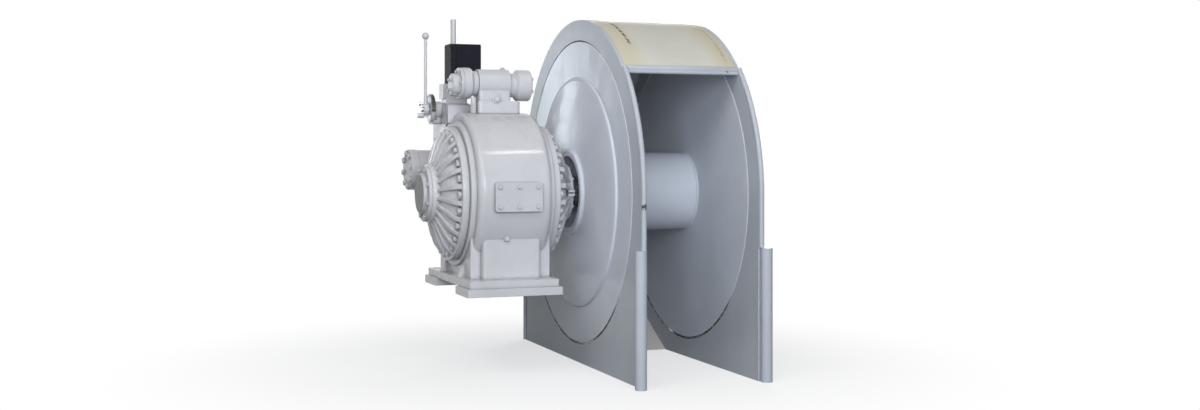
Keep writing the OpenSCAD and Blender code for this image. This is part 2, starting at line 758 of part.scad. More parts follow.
module relief_body() {
  base_l = relief_base_x1 - relief_base_x0;
  color(enamel) difference() {
    union() {
      along_x(relief_x0, 0, relief_z) cylinder(r = relief_r, h = relief_x1 - relief_x0);
      translate([relief_base_x0 + base_l / 2, 0, shaft_h + barrel_r - 30])
        rounded_slab(base_l, relief_base_d, relief_base_top - barrel_r + 30, 24);
      translate([(relief_x0 + relief_x1) / 2, 0, shaft_h + relief_base_top - 1])
        rounded_slab(relief_x1 - relief_x0, relief_base_d - 16, relief_z - relief_base_top, 16);
      translate([relief_plug_x, 0, shaft_h + relief_z - 86]) rotate([90, 0, 0])
        cylinder(r = 24, h = relief_base_d / 2 + 6);
      translate([relief_top_plug_x, 0, shaft_h + relief_z + relief_r - 20]) cylinder(r = 16, h = 23);
    }
    housing_clearance();
    along_x(relief_x0 - 1, 0, relief_z) cylinder(r = spool_r, h = relief_x1 - relief_x0 + 2);
    translate([relief_x, 0, shaft_h]) cylinder(r = relief_port_r, h = relief_z - spool_r / 2);
  }
}

relief_plug_x = 8;

module relief_left_cap() {
  color(enamel) along_left(relief_x0, 0, relief_z) difference() {
    rotate_extrude() polygon([
      [0, 0], [relief_r - 10, 0], [relief_r - 10, left_neck_l - 8], [relief_cap_r - 6, left_neck_l],
      [relief_cap_r, left_neck_l + 6], [relief_cap_r, left_cap_l], [0, left_cap_l]]);
    translate([0, 0, -1]) cylinder(r = chamber_r, h = spring_room + 1);
    on_circle(6, pilot_bolt_r, 30) translate([0, 0, left_cap_l - 20])
      cylinder(r = relief_bolt[2] + bolt_play, h = 21);
  }
}

module pilot_cap() {
  color(enamel) along_left(relief_x0 - left_cap_l, 0, relief_z) difference() {
    union() {
      cylinder(r = relief_cap_r - 1, h = pilot_foot_t);
      translate([-pilot_drop, 0, 0]) rotate_extrude() polygon([
        [0, 0], [pilot_r, 0], [pilot_r, pilot_l - 8], [pilot_r - 8, pilot_l], [0, pilot_l]]);
    }
    on_circle(6, pilot_bolt_r, 30) {
      translate([0, 0, -1]) cylinder(r = relief_bolt[2] + bolt_play, h = pilot_l);
      translate([0, 0, pilot_foot_t - 1]) cylinder(r = relief_bolt[0] * 0.62, h = pilot_l);
    }
  }
}

module relief_right_cap() {
  color(enamel) along_x(relief_x1, 0, relief_z) difference() {
    translate([right_drop, 0, 0]) rotate_extrude() polygon([
      [0, 0], [relief_r - 12, 0], [relief_r - 12, right_neck_l - 12], [relief_cap_r - 4, right_neck_l],
      [relief_cap_r, right_neck_l + 4], [relief_cap_r, right_cap_l - 6], [relief_cap_r - 6, right_cap_l],
      [0, right_cap_l]]);
    translate([0, 0, -1]) cylinder(r = chamber_r, h = spring_room + 1);
  }
}

module relief_bolts() {
  color(enamel) {
    along_left(relief_x0 - left_cap_l, 0, relief_z) {
      on_circle(6, pilot_bolt_r, 30) translate([0, 0, pilot_foot_t - 1])
        hex_bolt(relief_bolt, pilot_foot_t + 15);
      translate([-pilot_drop, 0, pilot_l]) on_circle(4, pilot_r * 0.62, 45) hex_bolt(relief_bolt, 0);
    }
    along_x(relief_x1 + right_cap_l, 0, relief_z - right_drop) on_circle(6, pilot_bolt_r - 6)
      hex_bolt(relief_bolt, 0);
    translate([relief_top_plug_x, 0, shaft_h + relief_z + relief_r + 3]) {
      cylinder(r = 14, h = 3);
      cylinder(r = 11, h = 9, $fn = 6);
    }
    translate([relief_plug_x, -relief_base_d / 2 - 6, shaft_h + relief_z - 86]) rotate([90, 0, 0])
      cylinder(r = 15, h = 8, $fn = 6);
  }
}

relief_top_plug_x = 65;

module relief_spool() {
  room = 2 * (spring_room - spool_travel - 12);
  color(steel) along_x(relief_x0 - room / 2, 0, relief_z) difference() {
    cylinder(r = spool_r - spool_gap, h = relief_x1 - relief_x0 + room);
    for (z = [room / 2 + 24, room / 2 + (relief_x1 - relief_x0) - 54])
      translate([0, 0, z]) ring(spool_r + 1, spool_r - 10, 30);
  }
}

fitting_x = -117;
fitting_y = -60;
fitting_r = 19;

module pilot_fitting() {
  seat = sqrt(pow(barrel_r, 2) - pow(fitting_y - fitting_r, 2)) + 2;
  top = relief_z - sqrt(pow(relief_cap_r, 2) - pow(fitting_y + fitting_r, 2)) - seam;
  color(steel) difference() {
    translate([fitting_x, fitting_y, shaft_h + seat - 12]) {
      cylinder(r = fitting_r - 4, h = top - seat + 12);
      for (z = [0 : 14 : 56]) translate([0, 0, z]) cylinder(r = fitting_r, h = 9, $fn = 6);
    }
    housing_clearance();
    along_x(relief_x0 - left_cap_l, 0, relief_z) cylinder(r = relief_cap_r + seam, h = left_cap_l);
  }
}

// The control valve's chest wraps the rear of the barrel
spindle_boss_r = 38;
plug_valve_r = 24;
plug_valve_l = 120;
chest_low_z = 8;
chest_neck_z = 330;
chest_rear_z = 60;
chest_low_top = side_z + 110;
riser_x = -114;
riser_y = 382;
riser_seat = 438;
riser_fitting_r = 28;

module chest_section(points) {
  linear_extrude(chest_left + chest_right) polygon([for (p = points) [-p[1], p[0]]]);
}

module valve_chest() {
  color(enamel) difference() {
    union() {
      round_shaft(-chest_left) {
        chest_section([
          [chest_front, chest_neck_z], [chest_front, chest_top - 14], [chest_front + 5, chest_top - 5],
          [chest_front + 14, chest_top], [chest_rear - 170, chest_top], [chest_rear - 85, chest_top - 12],
          [chest_rear - 30, chest_top - 34], [chest_rear, chest_top - 66], [chest_rear, chest_rear_z],
          [chest_front + 180, chest_rear_z]]);
        chest_section([
          [chest_rear - 90, chest_low_z], [port_face - 24, chest_low_z], [port_face, chest_low_z + 24],
          [port_face, chest_low_top - 24], [port_face - 24, chest_low_top],
          [chest_rear - 90, chest_low_top]]);
      }
      along_x(-chest_left, lever_y, spindle_z) cylinder(r = spindle_boss_r, h = plug_valve_l + 40);
    }
    housing_clearance();
    along_x(-chest_left - 1, lever_y, spindle_z)
      cylinder(r = plug_valve_r + spindle_gap, h = plug_valve_l + 12);
    for (x = port_x) translate([x, 250, shaft_h + port_z]) rotate([-90, 0, 0])
      cylinder(r = passage_r, h = port_face);
    along_x(-chest_left - 1, side_y, side_z) cylinder(r = side_bore_r, h = 60);
    translate([riser_x, riser_y, shaft_h + riser_seat]) {
      cylinder(r = riser_fitting_r + 6, h = 100);
      translate([0, 0, -30]) cylinder(r = riser_r - 5, h = 40);
    }
    port_bolts() cylinder(r = flange_bolt[2] + bolt_play, h = 60, center = true);
  }
}

side_bore_r = 70;
side_cover_t = 22;
side_flange_t = 26;
side_bolt_r = side_r - 20;
side_bolt_count = 8;
side_body_l = side_left - chest_left - side_cover_t;

module side_valve_housing() {
  color(enamel) along_left(-chest_left, side_y, side_z) difference() {
    rotate_extrude() polygon([
      [0, 0], [side_r, 0], [side_r, side_body_l - side_flange_t],
      [side_r + 3, side_body_l - side_flange_t + 2], [side_r + 3, side_body_l], [0, side_body_l]]);
    translate([0, 0, -1]) cylinder(r = side_bore_r, h = side_body_l + 2);
    on_circle(side_bolt_count, side_bolt_r, 10) translate([0, 0, side_body_l - 24])
      cylinder(r = port_bolt[2] + bolt_play, h = 25);
  }
}

module side_valve_cover() {
  color(enamel) along_left(-side_left + side_cover_t, side_y, side_z) difference() {
    rotate_extrude() polygon([
      [0, -20], [side_bore_r - seam, -20], [side_bore_r - seam, 0], [side_r + 3, 0],
      [side_r + 3, side_cover_t - 3], [side_r, side_cover_t], [0, side_cover_t]]);
    on_circle(side_bolt_count, side_bolt_r, 10) translate([0, 0, -1])
      cylinder(r = port_bolt[2] + bolt_play, h = side_cover_t + 2);
  }
}

module side_valve_bolts() {
  color(enamel) along_left(-side_left, side_y, side_z) on_circle(side_bolt_count, side_bolt_r, 10)
    hex_bolt(port_bolt, side_cover_t + 20);
}

port_flange_r = 88;
port_flange_t = 22;
port_neck_r = port_bore_r + 9;
port_neck_l = 70;
port_bolt_r = 71;
port_bolt_count = 6;

// Children stand on the oil ports' faces, facing back, at their bolts
module port_bolts() {
  for (x = port_x) translate([x, port_face, shaft_h + port_z]) rotate([-90, 0, 0])
    on_circle(port_bolt_count, port_bolt_r, 30) children();
}

module oil_port_flanges() {
  color(enamel) difference() {
    for (x = port_x) translate([x, port_face, shaft_h + port_z]) rotate([-90, 0, 0])
      rotate_extrude() polygon([
        [port_bore_r, 0], [port_flange_r, 0], [port_flange_r, port_flange_t],
        [port_neck_r + 2, port_flange_t], [port_neck_r, port_flange_t + 6],
        [port_neck_r, port_neck_l], [port_bore_r, port_neck_l]]);
    port_bolts() cylinder(r = flange_bolt[2] + bolt_play, h = 3 * port_flange_t, center = true);
  }
}

module oil_port_bolts() {
  color(enamel) port_bolts() translate([0, 0, port_flange_t]) hex_bolt(flange_bolt, port_flange_t + 24);
}

// The hand lever swings about its spindle, which turns the plug of the control valve
quadrant_x = 268;
quadrant_t = 20;
lever_hub_r = 34;
lever_hub_t = 26;
collar_r = 46;
pin_z = 31;
pin_r = 6;
pin_gap = 0.08;
pin_travel = 8;
pin_reach = lever_x - lever_hub_t / 2 - quadrant_x - quadrant_t;

module lever_quadrant() {
  color(enamel) along_left(-chest_left - seam, lever_y, spindle_z) difference() {
    union() {
      cylinder(r = collar_r, h = quadrant_x - chest_left);
      translate([0, 0, quadrant_x - chest_left]) cylinder(r = quadrant_r - 16, h = quadrant_t);
      translate([-collar_r - 20, 0, 0]) cylinder(r = 16, h = quadrant_x - chest_left + 4);
      translate([-collar_r - 20, -16, 0]) cube([collar_r, 32, 24]);
      translate([-quadrant_r + 4, -12, quadrant_x - chest_left]) cube([20, 24, quadrant_t]);
    }
    translate([0, 0, -1]) cylinder(r = spindle_r + spindle_gap, h = 200);
    for (a = [-index_angle, 0, index_angle]) rotate([0, 0, a])
      translate([pin_z, 0, quadrant_x - chest_left + quadrant_t - pin_travel])
        cylinder(r = pin_r + pin_gap, h = pin_travel + 1);
  }
}

module quadrant_rim() {
  color(black_gloss) along_left(-quadrant_x - seam, lever_y, spindle_z) difference() {
    ring(quadrant_r, quadrant_r - 16 + seam, quadrant_t - 1);
    translate([-2 * quadrant_r, -quadrant_r - 2, -1])
      cube([2 * quadrant_r - 12, 2 * quadrant_r + 4, quadrant_t + 2]);
  }
}

module lever_spindle() {
  color(steel) along_left(-chest_left + plug_valve_l, lever_y, spindle_z) {
    difference() {
      cylinder(r = plug_valve_r, h = plug_valve_l - 1);
      translate([0, 0, 30]) rotate([90, 0, 0]) cylinder(r = 12, h = 80, center = true);
    }
    cylinder(r = spindle_r, h = plug_valve_l + lever_x + lever_hub_t / 2 + 14 - chest_left);
  }
}

module hand_lever() {
  rod_l = knob_z - spindle_z - knob_r * 0.6;
  color(enamel) along_left(-lever_x + lever_hub_t / 2, lever_y, spindle_z) difference() {
    union() {
      cylinder(r = lever_hub_r, h = lever_hub_t);
      translate([0, 0, lever_hub_t / 2]) rotate([0, 90, 0]) cylinder(r = rod_r, h = rod_l);
      translate([0, 0, lever_hub_t / 2]) rotate([0, 90, 0])
        cylinder(r1 = lever_hub_t / 2 - 1, r2 = rod_r, h = lever_hub_r + 46);
      translate([-lever_hub_r - 8, -13, 2]) cube([lever_hub_r, 26, lever_hub_t - 4]);
      translate([-lever_hub_r, 0, lever_hub_t - 3]) cylinder(r = 14, h = 36);
    }
    translate([0, 0, -1]) cylinder(r = spindle_r + spindle_gap, h = lever_hub_t + 2);
    translate([pin_z, 0, -10]) cylinder(r = pin_r + pin_gap, h = lever_hub_t + 40);
  }
}

module lever_knob() {
  color(enamel) translate([-lever_x, lever_y, shaft_h + knob_z]) difference() {
    sphere(r = knob_r);
    translate([0, 0, -knob_r - 1]) cylinder(r = rod_r + 0.05, h = knob_r * 0.4 + 1.05);
  }
}

module index_pin() {
  color(steel) along_left(-lever_x + lever_hub_t / 2 + pin_reach - 6, lever_y, spindle_z + pin_z) {
    cylinder(r = pin_r, h = lever_hub_t + pin_reach + 14);
    translate([0, 0, lever_hub_t + pin_reach + 10]) cylinder(r = pin_r + 5, h = 12);
  }
}

// The control box stands on a bracket on the chest
box_x = -183;
box_y = 170;
bracket_w = 120;

module box_bracket() {
  color(enamel) translate([0, box_y + 20, shaft_h + chest_top]) difference() {
    union() {
      translate([-205, 0, 0]) cube([bracket_w, box_d - 40, box_z - chest_top]);
      translate([-218, 20, 34]) cube([box_x + 218 - seam, 90, box_z - chest_top - 4]);
    }
    translate([riser_x, riser_y - box_y - 20, -1]) cylinder(r = riser_fitting_r + 8, h = 200);
    translate([-chest_left - 1, lever_y - box_y - 20, spindle_z - chest_top]) rotate([0, 90, 0])
      cylinder(r = spindle_boss_r + seam, h = plug_valve_l + 41 + seam);
  }
}

box_lid_t = 34;
box_corner_r = 16;

module box_blank(x0, l) {
  translate([x0, box_y + box_d / 2, shaft_h + box_z + box_h / 2]) rotate([0, 90, 0])
    rounded_slab(box_h, box_d, l, box_corner_r);
}

module control_box() {
  color(black_gloss) difference() {
    box_blank(box_x + box_lid_t, box_w - box_lid_t);
    translate([box_x + box_lid_t - 1, box_y + 6, shaft_h + box_z + 6])
      cube([box_w - box_lid_t - 5, box_d - 12, box_h - 12]);
  }
}

module control_box_lid() {
  color(black_gloss) difference() {
    box_blank(box_x, box_lid_t - seam);
    translate([box_x + 6, box_y + 8, shaft_h + box_z + 8]) cube([box_lid_t, box_d - 16, box_h - 16]);
  }
}

riser_l = riser_top - riser_seat - 20;

module riser_fitting() {
  color(enamel) translate([riser_x, riser_y, shaft_h + riser_seat]) difference() {
    union() {
      cylinder(r = riser_fitting_r, h = 34, $fn = 6);
      cylinder(r = riser_fitting_r - 4, h = 62);
    }
    translate([0, 0, 20]) cylinder(r = riser_r + race_fit, h = 60);
    translate([0, 0, -1]) cylinder(r = riser_r - 5, h = 60);
  }
}

module riser_pipe() {
  color(enamel) translate([riser_x, riser_y, shaft_h + riser_seat + 20])
    ring(riser_r, riser_r - 3.5, riser_l);
}

// The drum: barrel, flanges and the two discs that key it to the shaft
module drum_barrel() {
  color(enamel) round_shaft(hub_x + 2)
    ring(drum_r, drum_r - drum_wall, right_plate_x + flange_t - 2 - hub_x - 2);
}

// Outer face of the dished left flange, from the hub lip out to the rim, as (r, x) points
function dish(x) = [
  [hub_lip_r, hub_x + 5 + x], [hub_lip_r + 2, hub_x + 16 + x], [hub_lip_r + 10, hub_x + 20 + x],
  [(hub_lip_r + cone_r) / 2, hub_x + 28 + x], [cone_r - 100, plate_x - cone_step - 8 + x],
  [cone_r - 24, plate_x - cone_step - 1 + x], [cone_r - 6, plate_x - cone_step + 3 + x],
  [cone_r, plate_x + x]];

module drum_left_flange() {
  in_face = dish(flange_t);
  color(enamel) round_shaft(0) rotate_extrude() polygon(concat(
    [[drum_r + seam, hub_x], [hub_lip_r - 4, hub_x], [hub_lip_r, hub_x + 4]], dish(0),
    [[flange_r, plate_x], [flange_r, plate_x + flange_t]],
    [for (i = [len(in_face) - 1 : -1 : 0]) in_face[i]],
    [[drum_r + seam, in_face[0][1]]]));
}

module drum_right_flange() {
  color(enamel) round_shaft(right_plate_x) ring(flange_r, drum_r + seam, flange_t);
}

module drum_hubs() {
  disc_r = drum_r - drum_wall - seam;
  color(enamel) difference() {
    for (x = hub_disc_x) round_shaft(x) {
      cylinder(r = disc_r, h = hub_disc_t);
      translate([0, 0, -20]) cylinder(r = hub_boss_r, h = hub_disc_t + 40);
    }
    round_shaft(0) cylinder(r = shaft_r + 0.1, h = right_plate_x + 200);
    for (x = hub_disc_x) round_shaft(x) on_circle(8, (disc_r + hub_boss_r) / 2)
      translate([0, 0, -1]) cylinder(r = 14, h = hub_disc_t + 2);
  }
}

// The frame: two side plates with a rolled hood between them
module side_plate() {
  difference() {
    union() {
      cylinder(r = plate_r, h = plate_t);
      translate([0, -plate_r, 0]) cube([plate_drop, 2 * plate_r, plate_t]);
    }
    translate([0, 0, -1]) cylinder(r = cutout_r, h = plate_t + 2);
    translate([plate_drop, -plate_r, -1]) cube([plate_r, 2 * plate_r, plate_t + 2]);
  }
}

module left_side_plate() {
  color(frame_paint) round_shaft(plate_x) side_plate();
}

module right_side_plate() {
  color(frame_paint) round_shaft(right_plate_x) side_plate();
}

hood_x = plate_x + plate_t + seam;
hood_w = frame_w - plate_t - 2 * seam;
lip_gap_angle = atan((lip_bar_r + seam) / plate_r);

module hood_sheet() {
  color(hood_paint) intersection() {
    round_shaft(hood_x) {
      rotate([0, 0, tail_angle]) {
        rotate_extrude(angle = 270 - lip_angle - tail_angle - lip_gap_angle, $fn = 240)
          translate([hood_in_r, 0]) square([hood_t, hood_w]);
        translate([hood_in_r, -plate_drop / 3, 0]) cube([hood_t, plate_drop / 3 + 0.02, hood_w]);
      }
    }
    translate([plate_x, -2 * plate_r, plate_bottom])
      cube([2 * frame_w, 4 * plate_r, 2 * plate_drop + plate_r]);
  }
}

module lip_bar() {
  color(frame_paint) difference() {
    round_shaft(hood_x) rotate([0, 0, 270 - lip_angle])
      translate([plate_r - hood_t / 2 + 3, 0, 0]) cylinder(r = lip_bar_r, h = hood_w);
    for (x = rim_bar_x) translate([x, 0, 0]) rim_arc(rim_bar_r + seam);
  }
}

rim_bar_x = [plate_x + plate_t / 2, right_plate_x + plate_t / 2];

// The bar round one plate's front edge, from the height of the shaft to the lip
module rim_arc(r) {
  round_shaft(0) rotate([0, 0, 270 - lip_angle - 1]) rotate_extrude(angle = lip_angle + 1)
    translate([rim_y, 0]) circle(r = r);
}

module front_rim_bars() {
  color(frame_paint) for (x = rim_bar_x) translate([x, 0, 0]) {
    rim_arc(rim_bar_r);
    translate([0, -rim_y, pipe_top]) cylinder(r = rim_bar_r, h = shaft_h - pipe_top - seam);
  }
}

module front_pipes() {
  color(frame_paint) for (x = [plate_x - pipe_out, right_plate_x + plate_t + pipe_out])
    translate([x, -pipe_y, plate_bottom]) difference() {
      cylinder(r = pipe_r, h = pipe_top - plate_bottom);
      translate([0, 0, -1]) cylinder(r = pipe_r - pipe_wall, h = pipe_top - plate_bottom - pipe_wall);
    }
}

module rear_strips() {
  color(frame_paint) for (x = [plate_x - strip_t, right_plate_x + plate_t])
    translate([x, plate_r - strip_w, plate_bottom]) cube([strip_t, strip_w, plate_drop]);
}

module outboard_beam() {
  h = plate_drop + beam_rise;
  color(frame_paint) difference() {
    translate([beam_x, -beam_w / 2, plate_bottom]) cube([beam_d, beam_w, h]);
    translate([beam_x + beam_wall, -beam_w / 2 + beam_wall, plate_bottom - 1])
      cube([beam_d - 2 * beam_wall, beam_w - 2 * beam_wall, h + 1 - beam_wall]);
    round_shaft(beam_x - 1) cylinder(r = outboard_r + seam, h = beam_d + 2);
    round_shaft(beam_x + beam_d) on_circle(8, outboard_bolt_r, 22.5)
      cylinder(r = port_bolt[2] + bolt_play, h = 3 * beam_wall, center = true);
  }
}

outboard_bolt_r = (outboard_r + outboard_flange_r) / 2 + 1;
outboard_flange_t = 20;
outboard_cap_t = 34;

module outboard_housing() {
  bore_z = outboard_bearing_x - beam_x - beam_d;
  color(frame_paint) round_shaft(beam_x + beam_d) difference() {
    rotate_extrude() polygon([
      [0, -beam_d + 6], [outboard_r, -beam_d + 6], [outboard_r, 0], [outboard_flange_r, 0],
      [outboard_flange_r, outboard_flange_t - 3], [outboard_flange_r - 3, outboard_flange_t],
      [end_bearing_r, outboard_flange_t], [end_bearing_r - 8, outboard_cap_t], [0, outboard_cap_t]]);
    translate([0, 0, bore_z]) cylinder(r = end_bearing_r, h = end_bearing_w);
    translate([0, 0, -beam_d]) cylinder(r = journal_r + 8, h = beam_d + 16);
    on_circle(8, outboard_bolt_r, 22.5) translate([0, 0, -1])
      cylinder(r = port_bolt[2] + bolt_play, h = outboard_flange_t + 2);
  }
}

module outboard_bolts() {
  color(steel) round_shaft(beam_x + beam_d) on_circle(8, outboard_bolt_r, 22.5)
    translate([0, 0, outboard_flange_t]) hex_bolt(port_bolt, outboard_flange_t + beam_wall);
}

motor_housing();
front_foot_pad();
rear_foot_pad();
inspection_cover();
inspection_bolts();
pedestal_plug();
cam_ring();
rotor();
vanes();
main_shaft();
bearing_outer_races();
bearing_inner_races();
bearing_rollers();
ribbed_end_cover();
end_cover_bolts();
bearing_cap();
bearing_cap_bolts();
drum_side_cover();
drum_side_bolts();
seal_retainer();
seal_retainer_bolts();
shaft_seal();
relief_body();
relief_left_cap();
pilot_cap();
relief_right_cap();
relief_bolts();
relief_spool();
pilot_fitting();
valve_chest();
side_valve_housing();
side_valve_cover();
side_valve_bolts();
oil_port_flanges();
oil_port_bolts();
lever_quadrant();
quadrant_rim();
lever_spindle();
hand_lever();
lever_knob();
index_pin();
box_bracket();
control_box();
control_box_lid();
riser_fitting();
riser_pipe();
drum_barrel();
drum_left_flange();
drum_right_flange();
drum_hubs();
left_side_plate();
right_side_plate();
hood_sheet();
lip_bar();
front_rim_bars();
front_pipes();
rear_strips();
outboard_beam();
outboard_housing();
outboard_bolts();
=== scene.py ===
"""Looks, light and camera for a hydraulic fishing winch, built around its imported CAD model."""

import json
import math

import bmesh
import bpy
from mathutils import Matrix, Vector


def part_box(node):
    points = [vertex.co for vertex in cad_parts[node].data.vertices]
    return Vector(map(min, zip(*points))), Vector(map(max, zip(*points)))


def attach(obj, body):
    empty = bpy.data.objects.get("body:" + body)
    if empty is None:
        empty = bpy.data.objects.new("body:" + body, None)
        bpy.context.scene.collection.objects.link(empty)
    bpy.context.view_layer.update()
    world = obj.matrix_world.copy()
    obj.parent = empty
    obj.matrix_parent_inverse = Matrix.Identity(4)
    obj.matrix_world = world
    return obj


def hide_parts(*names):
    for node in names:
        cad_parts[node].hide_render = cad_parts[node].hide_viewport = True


bl_info = {
    "name": "Fishing winch",
    "version": (1, 0, 0),
    "blender": (4, 5, 0),
    "location": "View3D > Sidebar > Winch",
    "description": "Paints the winch's castings and plates, adds cast covers, welds and small fittings",
    "category": "Object",
}

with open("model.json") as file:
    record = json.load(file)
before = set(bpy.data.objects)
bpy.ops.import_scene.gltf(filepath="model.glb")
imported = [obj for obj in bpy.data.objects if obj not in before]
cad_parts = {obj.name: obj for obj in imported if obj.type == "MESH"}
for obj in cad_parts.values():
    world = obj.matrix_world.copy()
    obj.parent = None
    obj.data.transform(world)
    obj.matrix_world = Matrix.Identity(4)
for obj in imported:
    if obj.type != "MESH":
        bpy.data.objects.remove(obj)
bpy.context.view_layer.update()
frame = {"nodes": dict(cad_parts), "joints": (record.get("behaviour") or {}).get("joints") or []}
NODES = frame["nodes"]
SHAFT = Vector(next(j["pos_m"] for j in frame["joints"] if j["name"] == "drum_turn"))
LEFT_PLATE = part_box("left_side_plate")
RIGHT_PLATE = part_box("right_side_plate")
GROUND = LEFT_PLATE[0].z
PLATE_R = LEFT_PLATE[1].y
HOOD_LEFT = LEFT_PLATE[1].x
HOOD_RIGHT = RIGHT_PLATE[0].x
HOOD_T = 0.008              # thickness of the hood sheet
TAIL_DEG = 28               # slope of the hood's straight tail below the horizontal
HOOD_WELD_DEG = (-118, 40)  # ends of the hood's weld beads, from the top towards the open front
FLANGE_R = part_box("drum_left_flange")[1].y
FLANGE_T = 0.016            # thickness of the drum's flanges
CUTOUT_R = FLANGE_R + 0.008  # radius of the plates' round cut-outs, with the flanges' gap
BEAD_OFF = 0.001            # how far a weld bead's centre stands off a face
CAMERA_PLACE = (-2.0885, -7.2607, 0.7601)
CAMERA_TURN = -20.597       # degrees about the vertical, from looking along Y
CAMERA_SHIFT = -0.0461

# Colours of dirt and wear, and of the painted light under the hood
SPECK = (0.16, 0.15, 0.13)
CHIP = (0.055, 0.048, 0.042)
RIM_DIRT = (0.085, 0.066, 0.048)
DARK_DAB = (0.035, 0.030, 0.028)
FRESH_OIL = (0.030, 0.022, 0.012)
OLD_OIL = (0.20, 0.15, 0.07)
OIL_FILM = (0.30, 0.27, 0.22)
HOOD_UNDERSIDE_LIGHT = (0.74, 0.70, 0.665)
LIP_MARK = (0.045, 0.045, 0.04)


# Shader maths

class Wire:
    """A socket, or a number, that can be added, subtracted and multiplied in a node tree."""

    def __init__(self, tree, value):
        self.tree = tree
        self.value = value

    def maths(self, operation, *others):
        """Adds a Math node after this wire."""
        return self.tree.node("ShaderNodeMath", {"operation": operation}, self, *others)

    def __add__(self, other):
        return self.maths("ADD", other)

    def __radd__(self, other):
        return Wire(self.tree, other).maths("ADD", self)

    def __sub__(self, other):
        return self.maths("SUBTRACT", other)

    def __rsub__(self, other):
        return Wire(self.tree, other).maths("SUBTRACT", self)

    def __mul__(self, other):
        return self.maths("MULTIPLY", other)

    def __rmul__(self, other):
        return Wire(self.tree, other).maths("MULTIPLY", self)

    def ramp(self, low, high, to_low=0.0, to_high=1.0):
        """From to_low at low to to_high at high, smooth in between."""
        return self.tree.node("ShaderNodeMapRange", {"interpolation_type": "SMOOTHSTEP"},
                              self, low, high, to_low, to_high)

    def band(self, low, high, soft):
        """1 between low and high, fading out over soft on both sides."""
        return self.ramp(low - soft, low) * (1.0 - self.ramp(high, high + soft))


class NodeTree:
    """The nodes of a material or a world, under construction."""

    def __init__(self, owner):
        owner.use_nodes = True
        self.nodes = owner.node_tree.nodes
        self.links = owner.node_tree.links
        self.nodes.clear()

    def feed(self, socket, value):
        """Links a wire to the socket, or sets a plain value on it."""
        value = value.value if isinstance(value, Wire) else value
        if isinstance(value, bpy.types.NodeSocket):
            self.links.new(value, socket)
        elif socket.type == "RGBA":
            socket.default_value = (*value, 1.0)
        elif value is not None:
            socket.default_value = value

    def node(self, kind, settings, *values, out=0, **named):
        """A node with its settings, its sockets fed in order or by name, and one output. Underscores are spaces."""
        made = self.nodes.new(kind)
        for key, value in settings.items():
            setattr(made, key, value)
        for socket, value in zip(made.inputs, values):
            self.feed(socket, value)
        for key, value in named.items():
            self.feed(made.inputs[key.replace("_", " ")], value)
        return Wire(self, made.outputs[out] if made.outputs else None)

    def mix(self, mask, first, second):
        """Colour first where mask is 0 and second where it is 1."""
        made = self.nodes.new("ShaderNodeMix")
        made.data_type = "RGBA"
        for socket, value in zip((made.inputs[0], made.inputs[6], made.inputs[7]), (mask, first, second)):
            self.feed(socket, value)
        return Wire(self, made.outputs[2])

    def seen(self):
        """1 for what the camera sees, straight, in a gloss or through glass, and 0 for light that bounces."""
        camera, glossy, glass = (self.node("ShaderNodeLightPath", {}, out=ray)
                                 for ray in ("Is Camera Ray", "Is Glossy Ray", "Is Transmission Ray"))
        return camera.maths("MAXIMUM", glossy).maths("MAXIMUM", glass)


class Paint(NodeTree):
    """A material under construction, with the object's own coordinates."""

    def __init__(self, name):
        self.material = bpy.data.materials.new(name)
        super().__init__(self.material)
        self.position = self.node("ShaderNodeTexCoord", {}, out="Object")
        self.x, self.y, self.z = (self.node("ShaderNodeSeparateXYZ", {}, self.position, out=i) for i in range(3))

    def noise(self, size, detail=3.0, rough=0.5, stretch=None):
        """Cloudy noise from 0 to 1, with blotches of that size in metres."""
        where = self.position
        if stretch:
            where = self.node("ShaderNodeVectorMath", {"operation": "MULTIPLY"}, where, stretch)
        return self.node("ShaderNodeTexNoise", {}, where, out="Fac",
                         Scale=1.0 / size, Detail=detail, Roughness=rough)

    def clouded(self, cloud, colour, low, high):
        """The colour, from low to high times as bright as a cloudy noise rises."""
        return self.mix(cloud.ramp(0.3, 0.7), shade(colour, low), shade(colour, high))

    def bump(self, height, depth, normal=None):
        """A normal that follows a height from 0 to 1, of that depth in metres, over another normal."""
        return self.node("ShaderNodeBump", {}, out="Normal", Strength=1.0, Distance=depth, Height=height,
                         Normal=normal)

    def rounded(self, radius):
        """A normal that rounds sharp edges by that radius."""
        return self.node("ShaderNodeBevel", {"samples": 4}, radius, out="Normal") if radius else None

    def crevice_shade_mask(self, reach):
        """1 deep in a crevice or beside another piece, 0 in the open. It masks painted shade."""
        open_share = self.node("ShaderNodeAmbientOcclusion", {"samples": 6}, out="AO", Distance=reach)
        return 1.0 - open_share.ramp(0.35, 0.95)

    def shader(self, colour, roughness, metallic=0.0, normal=None, coat=0.0, coat_roughness=0.1, specular=0.5):
        """The surface with these values."""
        return self.node("ShaderNodeBsdfPrincipled", {}, Base_Color=colour, Roughness=roughness, Metallic=metallic,
                         Normal=normal, Coat_Weight=coat, Coat_Roughness=coat_roughness, Specular_IOR_Level=specular)

    def finish(self, surface):
        """Puts the surface on the material's output."""
        self.node("ShaderNodeOutputMaterial", {}, surface)
        return self.material


def distance(a, b):
    """How far off a point is whose offsets along two axes are a and b."""
    return (a * a + b * b).maths("SQRT")


def shade(colour, *by):
    """The colour times one share, or times a share for each of red, green and blue."""
    return tuple(min(1.0, c * share) for c, share in zip(colour, by * (3 // len(by))))


# Finishes

